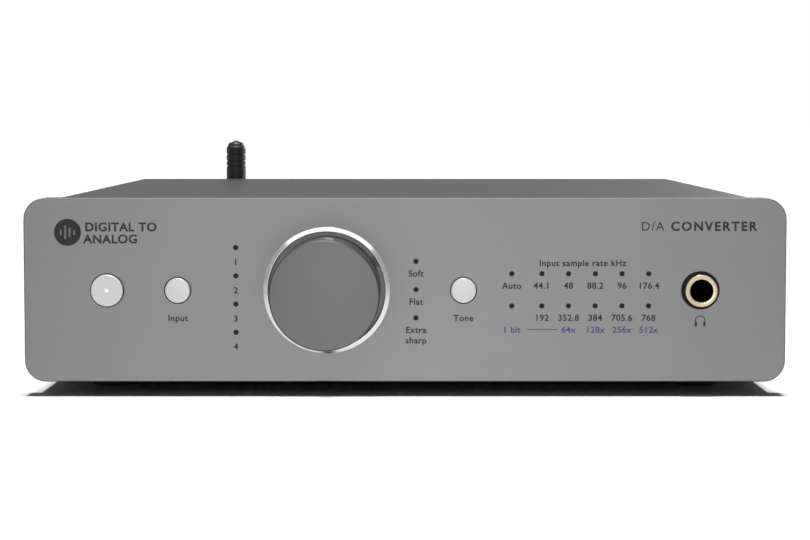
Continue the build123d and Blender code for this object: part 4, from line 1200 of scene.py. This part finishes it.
class CONVERTER_OT_rear_print(bpy.types.Operator):
    """Generic labels on the rear panel"""

    bl_idname = "converter.rear_print"
    bl_label = "Rear print"

    def execute(self, context):
        cap = 1.8 * MM
        white = bmesh.new()

        def label(words, x, z):
            add_flat(white, text_mesh(words, cap, 0.004, 1.06), on_rear(x, z - cap / 2))

        above_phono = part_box("phono_barrels")[1].z
        left = middle("left_phono_insulator").x
        right = middle("right_phono_insulator").x
        label("L", left, above_phono + 2.4 * MM)
        label("R", right, above_phono + 2.4 * MM)
        label("Line out", (left + right) / 2, above_phono + 6.2 * MM)
        for words, node, gap in (
            ("L", "xlr_socket_left", 2.2 * MM), ("R", "xlr_socket_right", 2.2 * MM),
            ("USB in", "usb_shell", 2.6 * MM), ("12 V DC", "power_inlet", 2.6 * MM),
        ):
            label(words, middle(node).x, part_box(node)[1].z + gap)
        low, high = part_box("optical_sockets")
        coax_low, coax_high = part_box("coaxial_insulators")
        optical_half = 4.85 * MM
        coax_half = 3.4 * MM
        pair_1 = (high.x - optical_half + coax_high.x - coax_half) / 2
        pair_2 = (low.x + optical_half + coax_low.x + coax_half) / 2
        label("Digital in 1", pair_1, above_phono + 4.4 * MM)
        label("Digital in 2", pair_2, above_phono + 4.4 * MM)
        coupling = middle("antenna_coupling")
        label("Antenna", coupling.x + 13 * MM, coupling.z + 0.9 * MM)
        print_piece("rear_labels", white, "rear_print", BACK)
        return {"FINISHED"}


# ---- finish of what stays


class CONVERTER_OT_inner_finish(bpy.types.Operator):
    """Finishes on the CAD pieces that are shown as they are"""

    bl_idname = "converter.inner_finish"
    bl_label = "Inner pieces"

    def execute(self, context):
        for entry in frame["record"]["subparts"]:
            thing = frame["nodes"][entry["node"]]
            paint(thing, entry["material_slot"])
        return {"FINISHED"}


class CONVERTER_PT_panel(bpy.types.Panel):
    bl_label = "Desktop converter"
    bl_idname = "CONVERTER_PT_panel"
    bl_space_type = "VIEW_3D"
    bl_region_type = "UI"
    bl_category = "Converter"

    def draw(self, context):
        for group in (context.scene.converter_stage, context.scene.converter_finish,
                      context.scene.converter_detail):
            box = self.layout.box()
            for name in group.__annotations__:
                box.prop(group, name)
        for operator in OPERATORS:
            self.layout.operator(operator.bl_idname)


OPERATORS = (
    CONVERTER_OT_stage,
    CONVERTER_OT_inner_finish,
    CONVERTER_OT_case,
    CONVERTER_OT_volume_knob,
    CONVERTER_OT_buttons,
    CONVERTER_OT_headphone_socket,
    CONVERTER_OT_antenna,
    CONVERTER_OT_rear_sockets,
    CONVERTER_OT_front_print,
    CONVERTER_OT_rear_print,
)
CLASSES = (StageSettings, FinishSettings, DetailSettings, *OPERATORS, CONVERTER_PT_panel)


def register():
    for cls in CLASSES:
        bpy.utils.register_class(cls)
    bpy.types.Scene.converter_stage = PointerProperty(type=StageSettings)
    bpy.types.Scene.converter_finish = PointerProperty(type=FinishSettings)
    bpy.types.Scene.converter_detail = PointerProperty(type=DetailSettings)


def unregister():
    del bpy.types.Scene.converter_detail
    del bpy.types.Scene.converter_finish
    del bpy.types.Scene.converter_stage
    for cls in reversed(CLASSES):
        bpy.utils.unregister_class(cls)


def main():
    for name in ("Cube", "Light", "Camera"):
        if name in bpy.data.objects:
            bpy.data.objects.remove(bpy.data.objects[name])
    register()
    make_materials()
    for operator in OPERATORS:
        group, call = operator.bl_idname.split(".")
        getattr(getattr(bpy.ops, group), call)()


if __name__ == "__main__":
    main()
